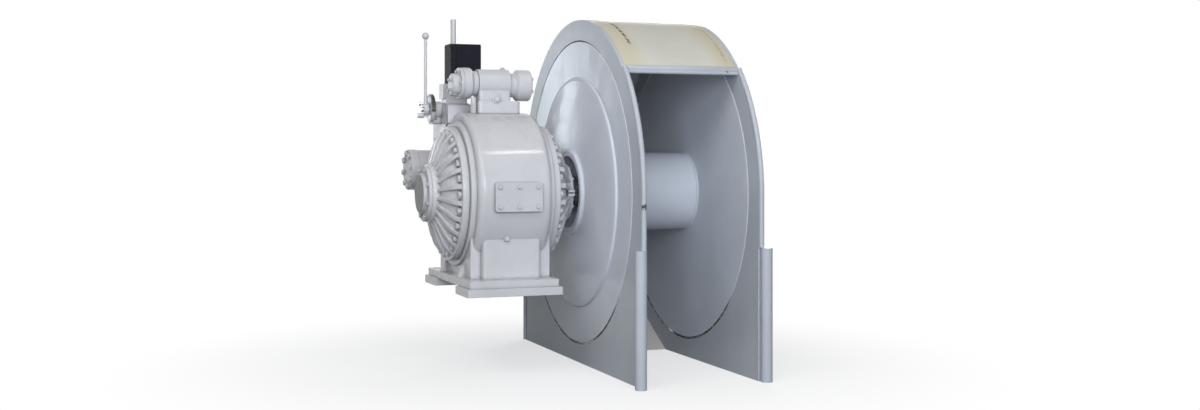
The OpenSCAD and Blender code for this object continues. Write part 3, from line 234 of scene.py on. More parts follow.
def casting_enamel(name, colour, edge, grain):
    """Thick glossy enamel over a casting: cloudy colour, dust, painted shade in crevices, cast grain and orange
    peel.
    """
    paint = Paint(name)
    cloud = paint.noise(0.22, 4.0)
    dust = paint.noise(0.09, 5.0, 0.65).ramp(0.56, 0.80) * 0.35
    specks = paint.noise(0.006, 2.0).ramp(0.70, 0.78) * 0.10
    tone = paint.clouded(cloud, colour, 0.965, 1.03)
    tone = paint.mix(dust, tone, shade(colour, 0.93, 0.90, 0.84))
    tone = paint.mix(specks, tone, SPECK)
    # Painted shade: the colour darkens deep in crevices and beside other pieces.
    tone = paint.mix(paint.crevice_shade_mask(0.022) * 0.65, tone, shade(colour, 0.36, 0.36, 0.38))
    cast = paint.noise(0.018, 4.0, 0.6)
    peel = paint.noise(0.006, 2.0, 0.4)
    normal = paint.bump(peel, 0.00022, paint.bump(cast, 0.0013 * grain, paint.rounded(edge)))
    gloss = cloud.ramp(0.25, 0.75, 0.24, 0.34)
    return paint.finish(paint.shader(tone, gloss, normal=normal, coat=0.36, coat_roughness=0.10, specular=0.12))


def cap_enamel(name, colour, face_x, face_r):
    """The bearing cap's enamel, with painted shade on its flat face of radius face_r at face_x, which is a darker
    grey.
    """
    paint = Paint(name)
    from_axis = distance(paint.y, paint.z - SHAFT.z)
    face = (1.0 - paint.x.ramp(face_x + 0.0012, face_x + 0.0022)) * (1.0 - from_axis.ramp(face_r - 0.002, face_r))
    cloud = paint.noise(0.05, 4.0, 0.6)
    # Painted shade: the flat face gets 0.40 to 0.46 of the enamel's brightness.
    tone = paint.mix(face, paint.clouded(cloud, colour, 0.97, 1.02), paint.clouded(cloud, colour, 0.40, 0.46))
    normal = paint.bump(paint.noise(0.0045, 2.0, 0.4), 0.00012, paint.rounded(0.003))
    return paint.finish(paint.shader(tone, cloud.ramp(0.25, 0.75, 0.24, 0.34), normal=normal, specular=0.06))


def plate_paint(name, colour, edge, rim=None, grime=0.0, sheen=0.22, marks=()):
    """Sprayed semi-gloss paint on rolled plate: mottled sheen, faint mill waves and chips.

    rim is the inner and outer radius of a ring round the shaft, lighter above as a painted highlight along the edge
    and dirty at the bottom.
    marks are dark dabs on the front, each with its X, Z and size.
    """
    paint = Paint(name)
    mottle = paint.noise(0.035, 3.0, 0.6)
    chips = paint.noise(0.011, 4.0, 0.7).ramp(0.735, 0.755) * paint.noise(0.30, 2.0).ramp(0.52, 0.66)
    tone = paint.clouded(paint.noise(0.35, 4.0), colour, 0.95, 1.04)
    tone = paint.mix(mottle.ramp(0.35, 0.75) * 0.16, tone, shade(colour, 0.90))
    tone = paint.mix(chips * 0.75, tone, CHIP)
    if grime:
        streaks = paint.noise(0.10, 5.0, 0.7, (3.0, 3.0, 0.35)).ramp(0.55, 0.85)
        tone = paint.mix(streaks * grime, tone, shade(colour, 0.62, 0.60, 0.55))
    if rim:
        ring = distance(paint.y, paint.z - SHAFT.z).band(*rim, 0.002)
        dirt_top = SHAFT.z - 0.50
        bottom = (dirt_top - paint.z).ramp(0.0, 0.16)
        smear = paint.noise(0.05, 4.0, 0.7).ramp(0.33, 0.55)
        # Painted highlight: the ring is lighter everywhere but at its dirty bottom.
        tone = paint.mix(ring * (1.0 - bottom) * 0.5, tone, shade(colour, 1.6))
        tone = paint.mix(ring * bottom * smear * 0.85, tone, RIM_DIRT)
    front = 1.0 - paint.y.ramp(-0.5, -0.4)
    for x, z, size in marks:
        spot = 1.0 - distance(paint.x - x, paint.z - z).ramp(size * 0.5, size)
        tone = paint.mix(spot * paint.noise(0.009, 3.0, 0.7).ramp(0.40, 0.52) * front, tone, DARK_DAB)
    waves = paint.noise(0.16, 2.0, 0.4)
    peel = paint.noise(0.004, 2.0, 0.4)
    normal = paint.bump(peel, 0.0001, paint.bump(waves, 0.0018, paint.rounded(edge)))
    gloss = mottle.ramp(0.3, 0.7, sheen * 0.85, sheen * 1.2)
    return paint.finish(paint.shader(tone, gloss, normal=normal, specular=0.05))


def hood_paint(name, colour):
    """The hood's warmer grey: yellowed sides, two rows of dried oil drops, and a lighter tone inside as painted
    light on its shaded underside.
    """
    paint = Paint(name)
    cloud = paint.noise(0.30, 5.0, 0.6)
    scuffs = paint.noise(0.05, 5.0, 0.7, (0.4, 2.0, 2.0)).ramp(0.58, 0.80) * 0.25
    sides = 1.0 - paint.x.band(HOOD_LEFT + 0.164, HOOD_RIGHT - 0.169, 0.12)
    tone = paint.clouded(cloud, colour, 0.95, 1.04)
    tone = paint.mix(scuffs, tone, shade(colour, 0.80, 0.78, 0.70))
    tone = paint.mix(sides * 0.80, tone, shade(colour, 0.97, 0.92, 0.76))
    up = paint.z - SHAFT.z
    lean = (paint.y * -1.0).maths("ARCTAN2", up) * math.degrees(1)
    drops = paint.noise(0.017, 3.0, 0.6).ramp(0.43, 0.50)
    rows = ((HOOD_LEFT + 0.090, 16.0, 33.0, 1.0, FRESH_OIL),
            (HOOD_RIGHT - 0.037, 20.0, 42.0, 0.4, OLD_OIL))
    for x, from_deg, to_deg, strength, oil in rows:
        line = paint.x.band(x - 0.005, x + 0.005, 0.006) * lean.band(from_deg, to_deg, 2.0)
        halo = paint.x.band(x - 0.010, x + 0.010, 0.05) * lean.band(from_deg, to_deg, 10.0)
        tone = paint.mix(line * drops * strength, tone, oil)
        tone = paint.mix(halo * 0.20, tone, shade(colour, 0.84, 0.78, 0.60))
    tail = math.radians(TAIL_DEG)
    below_shaft = 1.0 - up.ramp(-0.02, 0.0)
    along_tail = (paint.y * -math.cos(tail) + up * -math.sin(tail)).maths("MAXIMUM", 0.0) * below_shaft
    sheet_r = (paint.y * paint.y + up * up - along_tail * along_tail).maths("SQRT")
    inside = 1.0 - sheet_r.ramp(PLATE_R - 0.0035, PLATE_R - 0.0025)
    # Painted light: the shaded inside of the sheet gets a lighter tone than the outside.
    tone = paint.mix(inside, tone, HOOD_UNDERSIDE_LIGHT)
    lip_mark = lean.band(46.6, 48.0, 0.2) * paint.x.band(HOOD_RIGHT - 0.063, HOOD_RIGHT - 0.053, 0.002)
    tone = paint.mix(lip_mark, tone, LIP_MARK)
    normal = paint.bump(paint.noise(0.20, 2.0, 0.4), 0.0022, paint.rounded(0.004))
    return paint.finish(paint.shader(tone, cloud.ramp(0.3, 0.7, 0.34, 0.46), normal=normal, specular=0.08))


def machined_steel(name, colour):
    """Turned steel: fine rings along X, a little oil film."""
    paint = Paint(name)
    rings = paint.noise(1.0, 3.0, 0.6, (220.0, 8.0, 8.0))
    film = paint.noise(0.03, 4.0, 0.6)
    tone = paint.clouded(rings, colour, 0.88, 1.06)
    tone = paint.mix(film.ramp(0.5, 0.8) * 0.4, tone, OIL_FILM)
    normal = paint.bump(rings, 0.00012, paint.rounded(0.001))
    return paint.finish(paint.shader(tone, film.ramp(0.3, 0.8, 0.24, 0.42), 1.0, normal))


def bored_iron(name):
    """Dark bored cast iron with a film of oil."""
    paint = Paint(name)
    grain = paint.noise(0.003, 4.0, 0.7)
    tone = paint.mix(grain.ramp(0.3, 0.7), (0.16, 0.16, 0.165), (0.27, 0.27, 0.275))
    return paint.finish(paint.shader(tone, grain.ramp(0.3, 0.7, 0.30, 0.48), 0.75, paint.bump(grain, 0.0002)))


def black_gloss(name):
    """Moulded black housing: deep gloss, fine moulded grain, dust."""
    paint = Paint(name)
    dust = paint.noise(0.03, 5.0, 0.7).ramp(0.5, 0.85) * 0.35
    tone = paint.mix(dust, (0.018, 0.019, 0.026), (0.032, 0.033, 0.040))
    normal = paint.bump(paint.noise(0.0035, 2.0, 0.5), 0.00008, paint.rounded(0.010))
    return paint.finish(paint.shader(tone, dust.ramp(0.0, 0.35, 0.07, 0.16), normal=normal, specular=0.008))


def worn_black(name):
    """Black paint on the quadrant's rim, rubbed to brown in places."""
    paint = Paint(name)
    rub = paint.noise(0.02, 4.0, 0.7).ramp(0.55, 0.72)
    tone = paint.mix(rub * 0.6, (0.014, 0.013, 0.012), (0.10, 0.070, 0.040))
    normal = paint.bump(paint.noise(0.004, 3.0, 0.6), 0.0002, paint.rounded(0.002))
    return paint.finish(paint.shader(tone, rub.ramp(0.0, 1.0, 0.35, 0.6), normal=normal))


def seal_rubber(name):
    """Matt black rubber with a fine grain."""
    paint = Paint(name)
    grain = paint.noise(0.002, 3.0, 0.6)
    tone = paint.mix(grain.ramp(0.3, 0.7), (0.016, 0.016, 0.016), (0.030, 0.029, 0.028))
    return paint.finish(paint.shader(tone, grain.ramp(0.3, 0.7, 0.55, 0.72), normal=paint.bump(grain, 0.0002)))


def pale_floor(name, colour, lit, centre):
    """Pale where it is seen, and a plain grey of brightness lit for the light that bounces off it.

    Away from the centre it fades to the white of the room.
    """
    paint = Paint(name)
    seen = paint.seen()
    cloud = paint.noise(0.8)
    tone = paint.mix(seen, (lit,) * 3, paint.clouded(cloud, colour, 0.995, 1.0))
    matt = paint.shader(tone, 0.9, normal=paint.bump(cloud, 0.0002), specular=0.0)
    white = paint.node("ShaderNodeEmission", {})
    away = distance(paint.x - centre.x, paint.y - centre.y)
    return paint.finish(paint.node("ShaderNodeMixShader", {}, away.ramp(0.7, 2.6, 0.62, 1.0) * seen, matt, white))


# Mesh tools

def select_only(*objects):
    """Leaves edit mode and selects these objects alone, with the first one active."""
    if bpy.context.object and bpy.context.object.mode != "OBJECT":
        bpy.ops.object.mode_set(mode="OBJECT")
    bpy.ops.object.select_all(action="DESELECT")
    for o in objects:
        o.select_set(True)
    bpy.context.view_layer.objects.active = objects[0]


def edit(o):
    """Opens the object in edit mode with all of it selected."""
    select_only(o)
    bpy.ops.object.mode_set(mode="EDIT")
    bpy.ops.mesh.select_all(action="SELECT")


def leave():
    """Goes back from edit mode."""
    bpy.ops.object.mode_set(mode="OBJECT")


def pick_faces(o, test):
    """Selects the faces that pass a test, in edit mode."""
    mesh = bmesh.from_edit_mesh(o.data)
    bpy.ops.mesh.select_mode(type="FACE")
    bpy.ops.mesh.select_all(action="DESELECT")
    for face in mesh.faces:
        if test(face):
            face.select_set(True)
    mesh.select_flush(True)
    bmesh.update_edit_mesh(o.data)


def push(up):
    """Extrudes the selected faces along Z."""
    bpy.ops.mesh.extrude_region_move(TRANSFORM_OT_translate={"value": (0, 0, up)})


def apply_modifier(o, kind, **settings):
    """Adds a modifier with its settings and applies it."""
    select_only(o)
    made = o.modifiers.new(kind.title(), kind)
    for key, value in settings.items():
        setattr(made, key, value)
    bpy.ops.object.modifier_apply(modifier=made.name)


def settle(o):
    """Puts the object's place into its mesh."""
    select_only(o)
    bpy.ops.object.transform_apply(location=True, rotation=True, scale=True)


def named(name):
    """Names the object that was made last, and its mesh."""
    o = bpy.context.object
    o.name = name
    o.data.name = name
    return o


def join(name, objects):
    """Makes one named piece of several."""
    select_only(*objects)
    bpy.ops.object.join()
    return named(name)


def smooth(o, degrees=35):
    """Shades the piece smooth, apart from edges sharper than that angle."""
    select_only(o)
    bpy.ops.object.shade_smooth_by_angle(angle=math.radians(degrees))


def paint_over(o, material):
    """Gives the object one material in place of what it had."""
    o.data.materials.clear()
    o.data.materials.append(material)


def dress(o, body, material):
    """Gives a finished piece its finish and the body that it rides on."""
    paint_over(o, material)
    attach(o, body)


# Sizes and colours that a user would change

class WinchFinishes(bpy.types.PropertyGroup):
    enamel: bpy.props.FloatVectorProperty(name="Casting enamel", description="Colour of the motor's enamel",
                                          subtype="COLOR", size=3, default=(0.525, 0.520, 0.540), min=0, max=1)
    drum: bpy.props.FloatVectorProperty(name="Drum paint", description="Colour of the drum",
                                        subtype="COLOR", size=3, default=(0.60, 0.63, 0.69), min=0, max=1)
    plate: bpy.props.FloatVectorProperty(name="Plate paint", description="Colour of the side plates and bars",
                                         subtype="COLOR", size=3, default=(0.475, 0.50, 0.545), min=0, max=1)
    hood: bpy.props.FloatVectorProperty(name="Hood paint", description="Colour of the hood sheet",
                                        subtype="COLOR", size=3, default=(0.59, 0.568, 0.505), min=0, max=1)
    steel: bpy.props.FloatVectorProperty(name="Steel", description="Colour of bare machined steel",
                                         subtype="COLOR", size=3, default=(0.52, 0.53, 0.55), min=0, max=1)
    cast_edge: bpy.props.FloatProperty(name="Cast edge", description="Rounding of the castings' edges",
                                       default=0.005, min=0.0, max=0.02, unit="LENGTH")
    plate_edge: bpy.props.FloatProperty(name="Plate edge", description="Rounding of the plates' edges",
                                        default=0.003, min=0.0, max=0.01, unit="LENGTH")
    grain: bpy.props.FloatProperty(name="Cast grain", description="How strong the castings' grain is",
                                   default=1.0, min=0.0, max=4.0)


class WinchFittings(bpy.types.PropertyGroup):
    cover_voxel: bpy.props.FloatProperty(name="Cover detail", description="Finest detail of the cast covers",
                                         default=0.0028, min=0.002, max=0.01, unit="LENGTH")
    valve_voxel: bpy.props.FloatProperty(name="Valve detail", description="Finest detail of the valve castings",
                                         default=0.0022, min=0.0015, max=0.01, unit="LENGTH")
    weld_leg: bpy.props.FloatProperty(name="Weld size", description="Radius of the weld beads",
                                      default=0.005, min=0.002, max=0.012, unit="LENGTH")
    lip_radius: bpy.props.FloatProperty(name="Lip radius", description="Radius of the half round on the hood's lip",
                                        default=0.018, min=0.012, max=0.04, unit="LENGTH")
    lip_lean: bpy.props.FloatProperty(name="Lip place", description="Degrees from the top to the half round",
                                      default=46.9, min=40.0, max=48.0)
    lid_screw: bpy.props.FloatProperty(name="Lid screw", description="Radius of the black box's lid screws",
                                       default=0.0055, min=0.003, max=0.008, unit="LENGTH")
    gland: bpy.props.FloatProperty(name="Gland", description="Radius of the nut on the black box's cable gland",
                                   default=0.016, min=0.010, max=0.025, unit="LENGTH")
    drain: bpy.props.FloatProperty(name="Drain", description="Radius of the drain stub under the side valve",
                                   default=0.011, min=0.008, max=0.016, unit="LENGTH")
    lug: bpy.props.FloatVectorProperty(name="Clamp lug", description="Size of a lug of the clamp on the neck",
                                       size=3, default=(0.040, 0.044, 0.013), min=0.005, max=0.06, unit="LENGTH")


class WinchStage(bpy.types.PropertyGroup):
    key: bpy.props.FloatProperty(name="Key lamp", description="Strength of the large lamp above the motor",
                                 default=112.0, min=0.0, unit="POWER")
    front: bpy.props.FloatProperty(name="Front lamp", description="Strength of the lamp at the camera's left",
                                   default=240.0, min=0.0, unit="POWER")
    middle: bpy.props.FloatProperty(name="Middle lamp", description="Strength of the lamp before the drum",
                                    default=190.0, min=0.0, unit="POWER")
    top: bpy.props.FloatProperty(name="Top lamp", description="Strength of the lamp high before the hood",
                                 default=62.0, min=0.0, unit="POWER")
    window: bpy.props.FloatProperty(name="Window", description="Strength of the window that the left flange shows",
                                    default=12.0, min=0.0, unit="POWER")
    back: bpy.props.FloatProperty(name="Back lamp", description="Strength of the lamp behind the winch",
                                  default=210.0, min=0.0, unit="POWER")
    sparkle: bpy.props.FloatProperty(name="Sparkle", description="Strength of the small lamps seen in the enamel",
                                     default=17.0, min=0.0, unit="POWER")
    sky: bpy.props.FloatProperty(name="Room light", description="Strength of the room's even light",
                                 default=0.05, min=0.0, max=2.0)
    lens: bpy.props.FloatProperty(name="Focal length", description="The camera's focal length in millimetres",
                                  default=41.062, min=10.0, max=200.0)


# Operators

ENAMELLED = ("motor_housing", "front_foot_pad", "rear_foot_pad", "ribbed_end_cover", "drum_side_cover",
             "seal_retainer", "relief_body", "relief_left_cap", "pilot_cap", "relief_right_cap", "valve_chest",
             "side_valve_housing", "side_valve_cover", "oil_port_flanges", "lever_quadrant", "box_bracket")
SMALL_ENAMELLED = ("inspection_bolts", "end_cover_bolts", "bearing_cap_bolts", "drum_side_bolts",
                   "seal_retainer_bolts", "relief_bolts", "side_valve_bolts", "oil_port_bolts", "hand_lever",
                   "lever_knob", "riser_pipe", "riser_fitting", "pedestal_plug", "pilot_fitting")
FRAME_BARS = ("lip_bar", "front_rim_bars", "front_pipes", "rear_strips", "outboard_beam", "outboard_housing")
BARE_STEEL = ("rotor", "vanes", "main_shaft", "bearing_outer_races", "bearing_inner_races", "bearing_rollers",
              "relief_spool", "lever_spindle", "index_pin", "outboard_bolts")

finishes = {}


class WINCH_OT_finishes(bpy.types.Operator):
    """Makes every finish and puts it on the CAD nodes"""
    bl_idname = "winch.finishes"
    bl_label = "Finishes"

    def execute(self, context):
        s = context.scene.winch_finishes
        enamel, drum, plate, hood, steel = (tuple(c) for c in (s.enamel, s.drum, s.plate, s.hood, s.steel))
        flange_rim = (FLANGE_R - 0.002, FLANGE_R + 0.008)
        cutout_rim = (CUTOUT_R - 0.004, CUTOUT_R + 0.002)
        rim_dab = ((LEFT_PLATE[0].x + LEFT_PLATE[1].x) / 2, SHAFT.z - 0.048, 0.020)
        lip_dab = (HOOD_RIGHT - 0.063, SHAFT.z + 0.647, 0.008)
        cap_low, cap_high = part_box("bearing_cap")
        face_r = cap_high.y - 0.034
        edge = s.plate_edge
        coats = {
            "enamel": (casting_enamel("casting_enamel", enamel, s.cast_edge, s.grain), ENAMELLED),
            "small": (casting_enamel("fitting_enamel", enamel, 0.0012, s.grain * 0.08), SMALL_ENAMELLED),
            "cover": (casting_enamel("cover_enamel", enamel, 0.0, s.grain), ()),
            "inspection": (casting_enamel("inspection_cover_enamel", enamel, 0.006, s.grain * 2.0),
                           ("inspection_cover",)),
            "cap": (cap_enamel("bearing_cap_enamel", enamel, cap_low.x, face_r), ("bearing_cap",)),
            "drum": (plate_paint("drum_paint", drum, edge, grime=0.10), ("drum_barrel", "drum_hubs")),
            "flange": (plate_paint("flange_paint", drum, edge, rim=flange_rim, grime=0.12, sheen=0.15),
                       ("drum_left_flange", "drum_right_flange")),
            "plate": (plate_paint("plate_paint", plate, edge, rim=cutout_rim, grime=0.12),
                      ("left_side_plate", "right_side_plate")),
            "bar": (plate_paint("bar_paint", shade(plate, 0.96), 0.002, marks=(rim_dab, lip_dab)), FRAME_BARS),
            "hood": (hood_paint("hood_paint", hood), ("hood_sheet",)),
            "steel": (machined_steel("machined_steel", steel), BARE_STEEL),
            "iron": (bored_iron("bored_iron"), ("cam_ring",)),
            "black": (black_gloss("black_housing"), ("control_box", "control_box_lid")),
            "rim": (worn_black("quadrant_black"), ("quadrant_rim",)),
            "rubber": (seal_rubber("seal_rubber"), ("shaft_seal",)),
        }
        for name, (material, nodes) in coats.items():
            finishes[name] = material
            for node in nodes:
                paint_over(NODES[node], material)
        return {"FINISHED"}


def cast_copy(node, voxel, limit):
    """A copy of a CAD node with the soft edges and filled corners of a casting, of at most limit triangles."""
    made = bpy.data.objects.new(node + "_cast", NODES[node].data.copy())
    bpy.context.scene.collection.objects.link(made)
    edit(made)
    bpy.ops.mesh.remove_doubles(threshold=0.00005)
    leave()
    apply_modifier(made, "REMESH", mode="VOXEL", voxel_size=voxel, use_smooth_shade=True)
    apply_modifier(made, "SMOOTH", factor=0.5, iterations=3)
    triangles = 2 * len(made.data.polygons)
    if triangles > limit:
        apply_modifier(made, "DECIMATE", ratio=limit / triangles)
    select_only(made)
    bpy.ops.object.shade_smooth()
    dress(made, "motor_and_frame", finishes["cover"])
    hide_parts(node)


class WINCH_OT_cast_covers(bpy.types.Operator):
    """Turns the ribbed covers into soft-edged castings"""
    bl_idname = "winch.cast_covers"
    bl_label = "Cast covers"

    def execute(self, context):
        for node in ("ribbed_end_cover", "drum_side_cover"):
            cast_copy(node, context.scene.winch_fittings.cover_voxel, limit=180000)
        return {"FINISHED"}


class WINCH_OT_cast_valve(bpy.types.Operator):
    """Turns the relief valve's body and caps into soft-edged castings"""
    bl_idname = "winch.cast_valve"
    bl_label = "Cast relief valve"

    def execute(self, context):
        for node in ("relief_body", "relief_left_cap", "pilot_cap", "relief_right_cap"):
            cast_copy(node, context.scene.winch_fittings.valve_voxel, limit=120000)
        return {"FINISHED"}


def ripple(o, centre_and_run, amount, pitch):
    """Swells a tube's rings in turn, as a weld bead's ripples do.

    centre_and_run gives, for a point of the tube, its ring's centre and how far along the tube that is.
    """
    for v in o.data.vertices:
        centre, run = centre_and_run(v.co)
        v.co = centre + (v.co - centre) * (1 + amount * math.sin(2 * math.pi * run / pitch))


def straight_bead(start, end, leg):
    """A weld bead along a straight seam."""
    start, end = Vector(start), Vector(end)
    run = end - start
    rings = max(8, int(run.length / 0.0025))
    bpy.ops.mesh.primitive_cylinder_add(vertices=8, radius=leg, depth=run.length, end_fill_type="TRIFAN")
    o = named("bead")
    edit(o)
    bpy.ops.mesh.select_all(action="DESELECT")
    mesh = bmesh.from_edit_mesh(o.data)
    long_edges = [e for e in mesh.edges if abs(e.verts[0].co.z - e.verts[1].co.z) > run.length * 0.9]
    bmesh.ops.subdivide_edges(mesh, edges=long_edges, cuts=rings, use_grid_fill=False)
    bmesh.update_edit_mesh(o.data)
    leave()
    ripple(o, lambda p: (Vector((0, 0, p.z)), p.z), amount=0.10, pitch=0.006)
    o.rotation_mode = "QUATERNION"
    o.rotation_quaternion = run.to_track_quat("Z", "Y")
    o.location = (start + end) / 2
    settle(o)
    return o


def arc_bead(x, radius, from_deg, to_deg, leg):
    """A weld bead round the shaft's axis at x. Angles run from the top towards the open front."""
    rings = 260
    turn = math.radians(to_deg - from_deg)
    bpy.ops.mesh.primitive_circle_add(vertices=8, radius=leg, fill_type="NOTHING")
    o = named("bead")
    o.rotation_euler = (math.radians(90), 0, 0)
    o.location = (0, 0, radius)
    settle(o)
    edit(o)
    bpy.ops.mesh.spin(steps=rings, angle=-turn, center=(0, 0, 0), axis=(1, 0, 0))
    bpy.ops.mesh.select_all(action="SELECT")
    bpy.ops.mesh.remove_doubles(threshold=0.00001)
    if abs(turn) < 2 * math.pi:
        bpy.ops.mesh.select_all(action="DESELECT")
        bpy.ops.mesh.select_non_manifold()
        bpy.ops.mesh.fill_holes(sides=0)
        bpy.ops.mesh.select_all(action="SELECT")
    bpy.ops.mesh.normals_make_consistent(inside=False)
    leave()

    def centre_and_run(p):
        return Vector((0, p.y, p.z)).normalized() * radius, math.atan2(-p.y, p.z) * radius

    ripple(o, centre_and_run, amount=0.08, pitch=3 * radius * turn / rings)
    o.rotation_euler = (math.radians(from_deg), 0, 0)
    o.location = (x, 0, SHAFT.z)
    settle(o)
    return o


class WINCH_OT_lip_moulding(bpy.types.Operator):
    """Adds the half round that stiffens the hood's front lip"""
    bl_idname = "winch.lip_moulding"
    bl_label = "Lip moulding"

    def execute(self, context):
        s = context.scene.winch_fittings
        lean = math.radians(s.lip_lean)
        play = 0.0005
        seat = PLATE_R - play
        length = HOOD_RIGHT - HOOD_LEFT - 2 * play
        bpy.ops.mesh.primitive_cylinder_add(vertices=48, radius=s.lip_radius, depth=length,
                                            rotation=(0, math.radians(90), 0))
        o = named("lip_moulding")
        settle(o)
        edit(o)
        bpy.ops.mesh.bisect(plane_co=(0, 0, 0), plane_no=(0, 0, 1), clear_inner=True, use_fill=True)
        leave()
        o.rotation_euler = (lean, 0, 0)
        o.location = ((HOOD_LEFT + HOOD_RIGHT) / 2, -seat * math.sin(lean), SHAFT.z + seat * math.cos(lean))
        settle(o)
        apply_modifier(o, "BEVEL", width=0.0008, segments=2, limit_method="ANGLE", angle_limit=math.radians(50))
        smooth(o, 40)
        dress(o, "motor_and_frame", finishes["bar"])
        return {"FINISHED"}


class WINCH_OT_frame_welds(bpy.types.Operator):
    """Adds the frame's weld beads: pipes, hood and outboard beam"""
    bl_idname = "winch.frame_welds"
    bl_label = "Frame welds"

    def execute(self, context):
        leg = context.scene.winch_fittings.weld_leg
        pipe_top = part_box("front_pipes")[1].z
        beam_low, beam_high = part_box("outboard_beam")
        x, front, back, top = beam_low.x, beam_low.y, beam_high.y, beam_high.z
        short = 0.004
        foot = GROUND + short
        rim = -PLATE_R - BEAD_OFF
        beads = [straight_bead((face, rim, foot), (face, rim, pipe_top - short), leg * 0.8)
                 for plate in (LEFT_PLATE, RIGHT_PLATE) for face in (plate[0].x, plate[1].x)]
        beads += [straight_bead((x, y, foot), (x, y, top - short), leg * 1.4) for y in (front, back)]
        beads.append(straight_bead((x, front, top), (x, back, top), leg * 1.4))
        beads += [arc_bead(face, PLATE_R - HOOD_T, *HOOD_WELD_DEG, leg) for face in (HOOD_LEFT, HOOD_RIGHT)]
        welds = join("frame_weld_beads", beads)
        smooth(welds, 60)
        dress(welds, "motor_and_frame", finishes["bar"])
        return {"FINISHED"}


class WINCH_OT_drum_welds(bpy.types.Operator):
    """Adds the weld beads between the drum's barrel and its flanges"""
    bl_idname = "winch.drum_welds"
    bl_label = "Drum welds"

    def execute(self, context):
        leg = context.scene.winch_fittings.weld_leg * 1.6
        barrel_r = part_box("drum_barrel")[1].y
        left_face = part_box("drum_left_flange")[0].x + FLANGE_T
        right_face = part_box("drum_right_flange")[0].x
        beads = [arc_bead(x, barrel_r, 0, -360, leg) for x in (right_face - BEAD_OFF, left_face + BEAD_OFF)]
        welds = join("drum_weld_beads", beads)
        smooth(welds, 60)
        dress(welds, "drum", finishes["drum"])
        return {"FINISHED"}


def cap_screw(radius, height):
    """A socket cap screw's head standing on Z = 0, with a chamfered top and a round socket."""
    bpy.ops.mesh.primitive_cylinder_add(vertices=36, radius=radius, depth=height, location=(0, 0, height / 2))
    o = named("screw")
    settle(o)
    edit(o)
    pick_faces(o, lambda face: face.normal.z > 0.9)
    bpy.ops.mesh.inset(thickness=radius * 0.12)
    bpy.ops.transform.translate(value=(0, 0, height * 0.06))
    bpy.ops.mesh.inset(thickness=radius * 0.30)
    push(-height * 0.45)
    leave()
    return o


def black_stub(name, sides, radius, height, place, shoulder, reach, wall, bore):
    """A black fitting that hangs down: a body at place, a neck narrower by shoulder, and a blind bore in it."""
    bpy.ops.mesh.primitive_cylinder_add(vertices=sides, radius=radius, depth=height, location=place)
    o = named(name)
    settle(o)
    edit(o)
    pick_faces(o, lambda face: face.normal.z < -0.9)
    bpy.ops.mesh.inset(thickness=shoulder)
    push(-reach)
    bpy.ops.mesh.inset(thickness=wall)
    push(bore)
    leave()
    apply_modifier(o, "BEVEL", width=0.0008, segments=2, limit_method="ANGLE")
    smooth(o)
    dress(o, "motor_and_frame", finishes["black"])


class WINCH_OT_box_fittings(bpy.types.Operator):
    """Adds the control box's lid screws and its cable gland"""
    bl_idname = "winch.box_fittings"
    bl_label = "Box fittings"

    def execute(self, context):
        s = context.scene.winch_fittings
        box_low, box_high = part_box("control_box")
        lid_low, lid_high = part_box("control_box_lid")
        inset = 0.016
        screws = []
        for y in (lid_low.y + inset, lid_high.y - inset):
            for z in (lid_low.z + inset, lid_high.z - inset):
                o = cap_screw(s.lid_screw, 0.004)
                o.rotation_euler = (0, math.radians(-90), 0)
                o.location = (lid_low.x + 0.0012, y, z)
                settle(o)
                screws.append(o)
        screws = join("box_lid_screws", screws)
        smooth(screws)
        dress(screws, "motor_and_frame", finishes["black"])
        black_stub("box_gland_nut", sides=6, radius=s.gland, height=0.010,
                   place=(box_high.x - 0.045, (box_low.y + box_high.y) / 2, box_low.z - 0.004),
                   shoulder=0.003, reach=0.007, wall=0.004, bore=0.005)
        return {"FINISHED"}


class WINCH_OT_small_fittings(bpy.types.Operator):
    """Adds the drain stub under the side valve and the split clamp on the seal retainer"""
    bl_idname = "winch.small_fittings"
    bl_label = "Small fittings"

    def execute(self, context):
        s = context.scene.winch_fittings
        low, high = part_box("side_valve_housing")
        black_stub("side_valve_drain", sides=24, radius=s.drain, height=0.020,
                   place=(low.x + 0.030, (low.y + high.y) / 2, low.z - 0.006),
                   shoulder=0.003, reach=0.016, wall=0.003, bore=0.006)
        low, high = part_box("seal_retainer")
        x = high.x - 0.026
        pieces = []
        for side in (1, -1):
            z = SHAFT.z + side * 0.0105
            bpy.ops.mesh.primitive_cube_add(size=1)
            lug = named("lug")
            lug.scale = s.lug
            lug.location = (x, low.y - 0.016, z)
            settle(lug)
            apply_modifier(lug, "BEVEL", width=0.0025, segments=3, limit_method="ANGLE")
            screw = cap_screw(0.0075, 0.007)
            screw.rotation_euler = (0 if side > 0 else math.pi, 0, 0)
            screw.location = (x, low.y - 0.026, z + side * 0.006)
            settle(screw)
            pieces += [lug, screw]
        clamp = join("neck_clamp_lugs", pieces)
        smooth(clamp)
        dress(clamp, "motor_and_frame", finishes["small"])
        return {"FINISHED"}


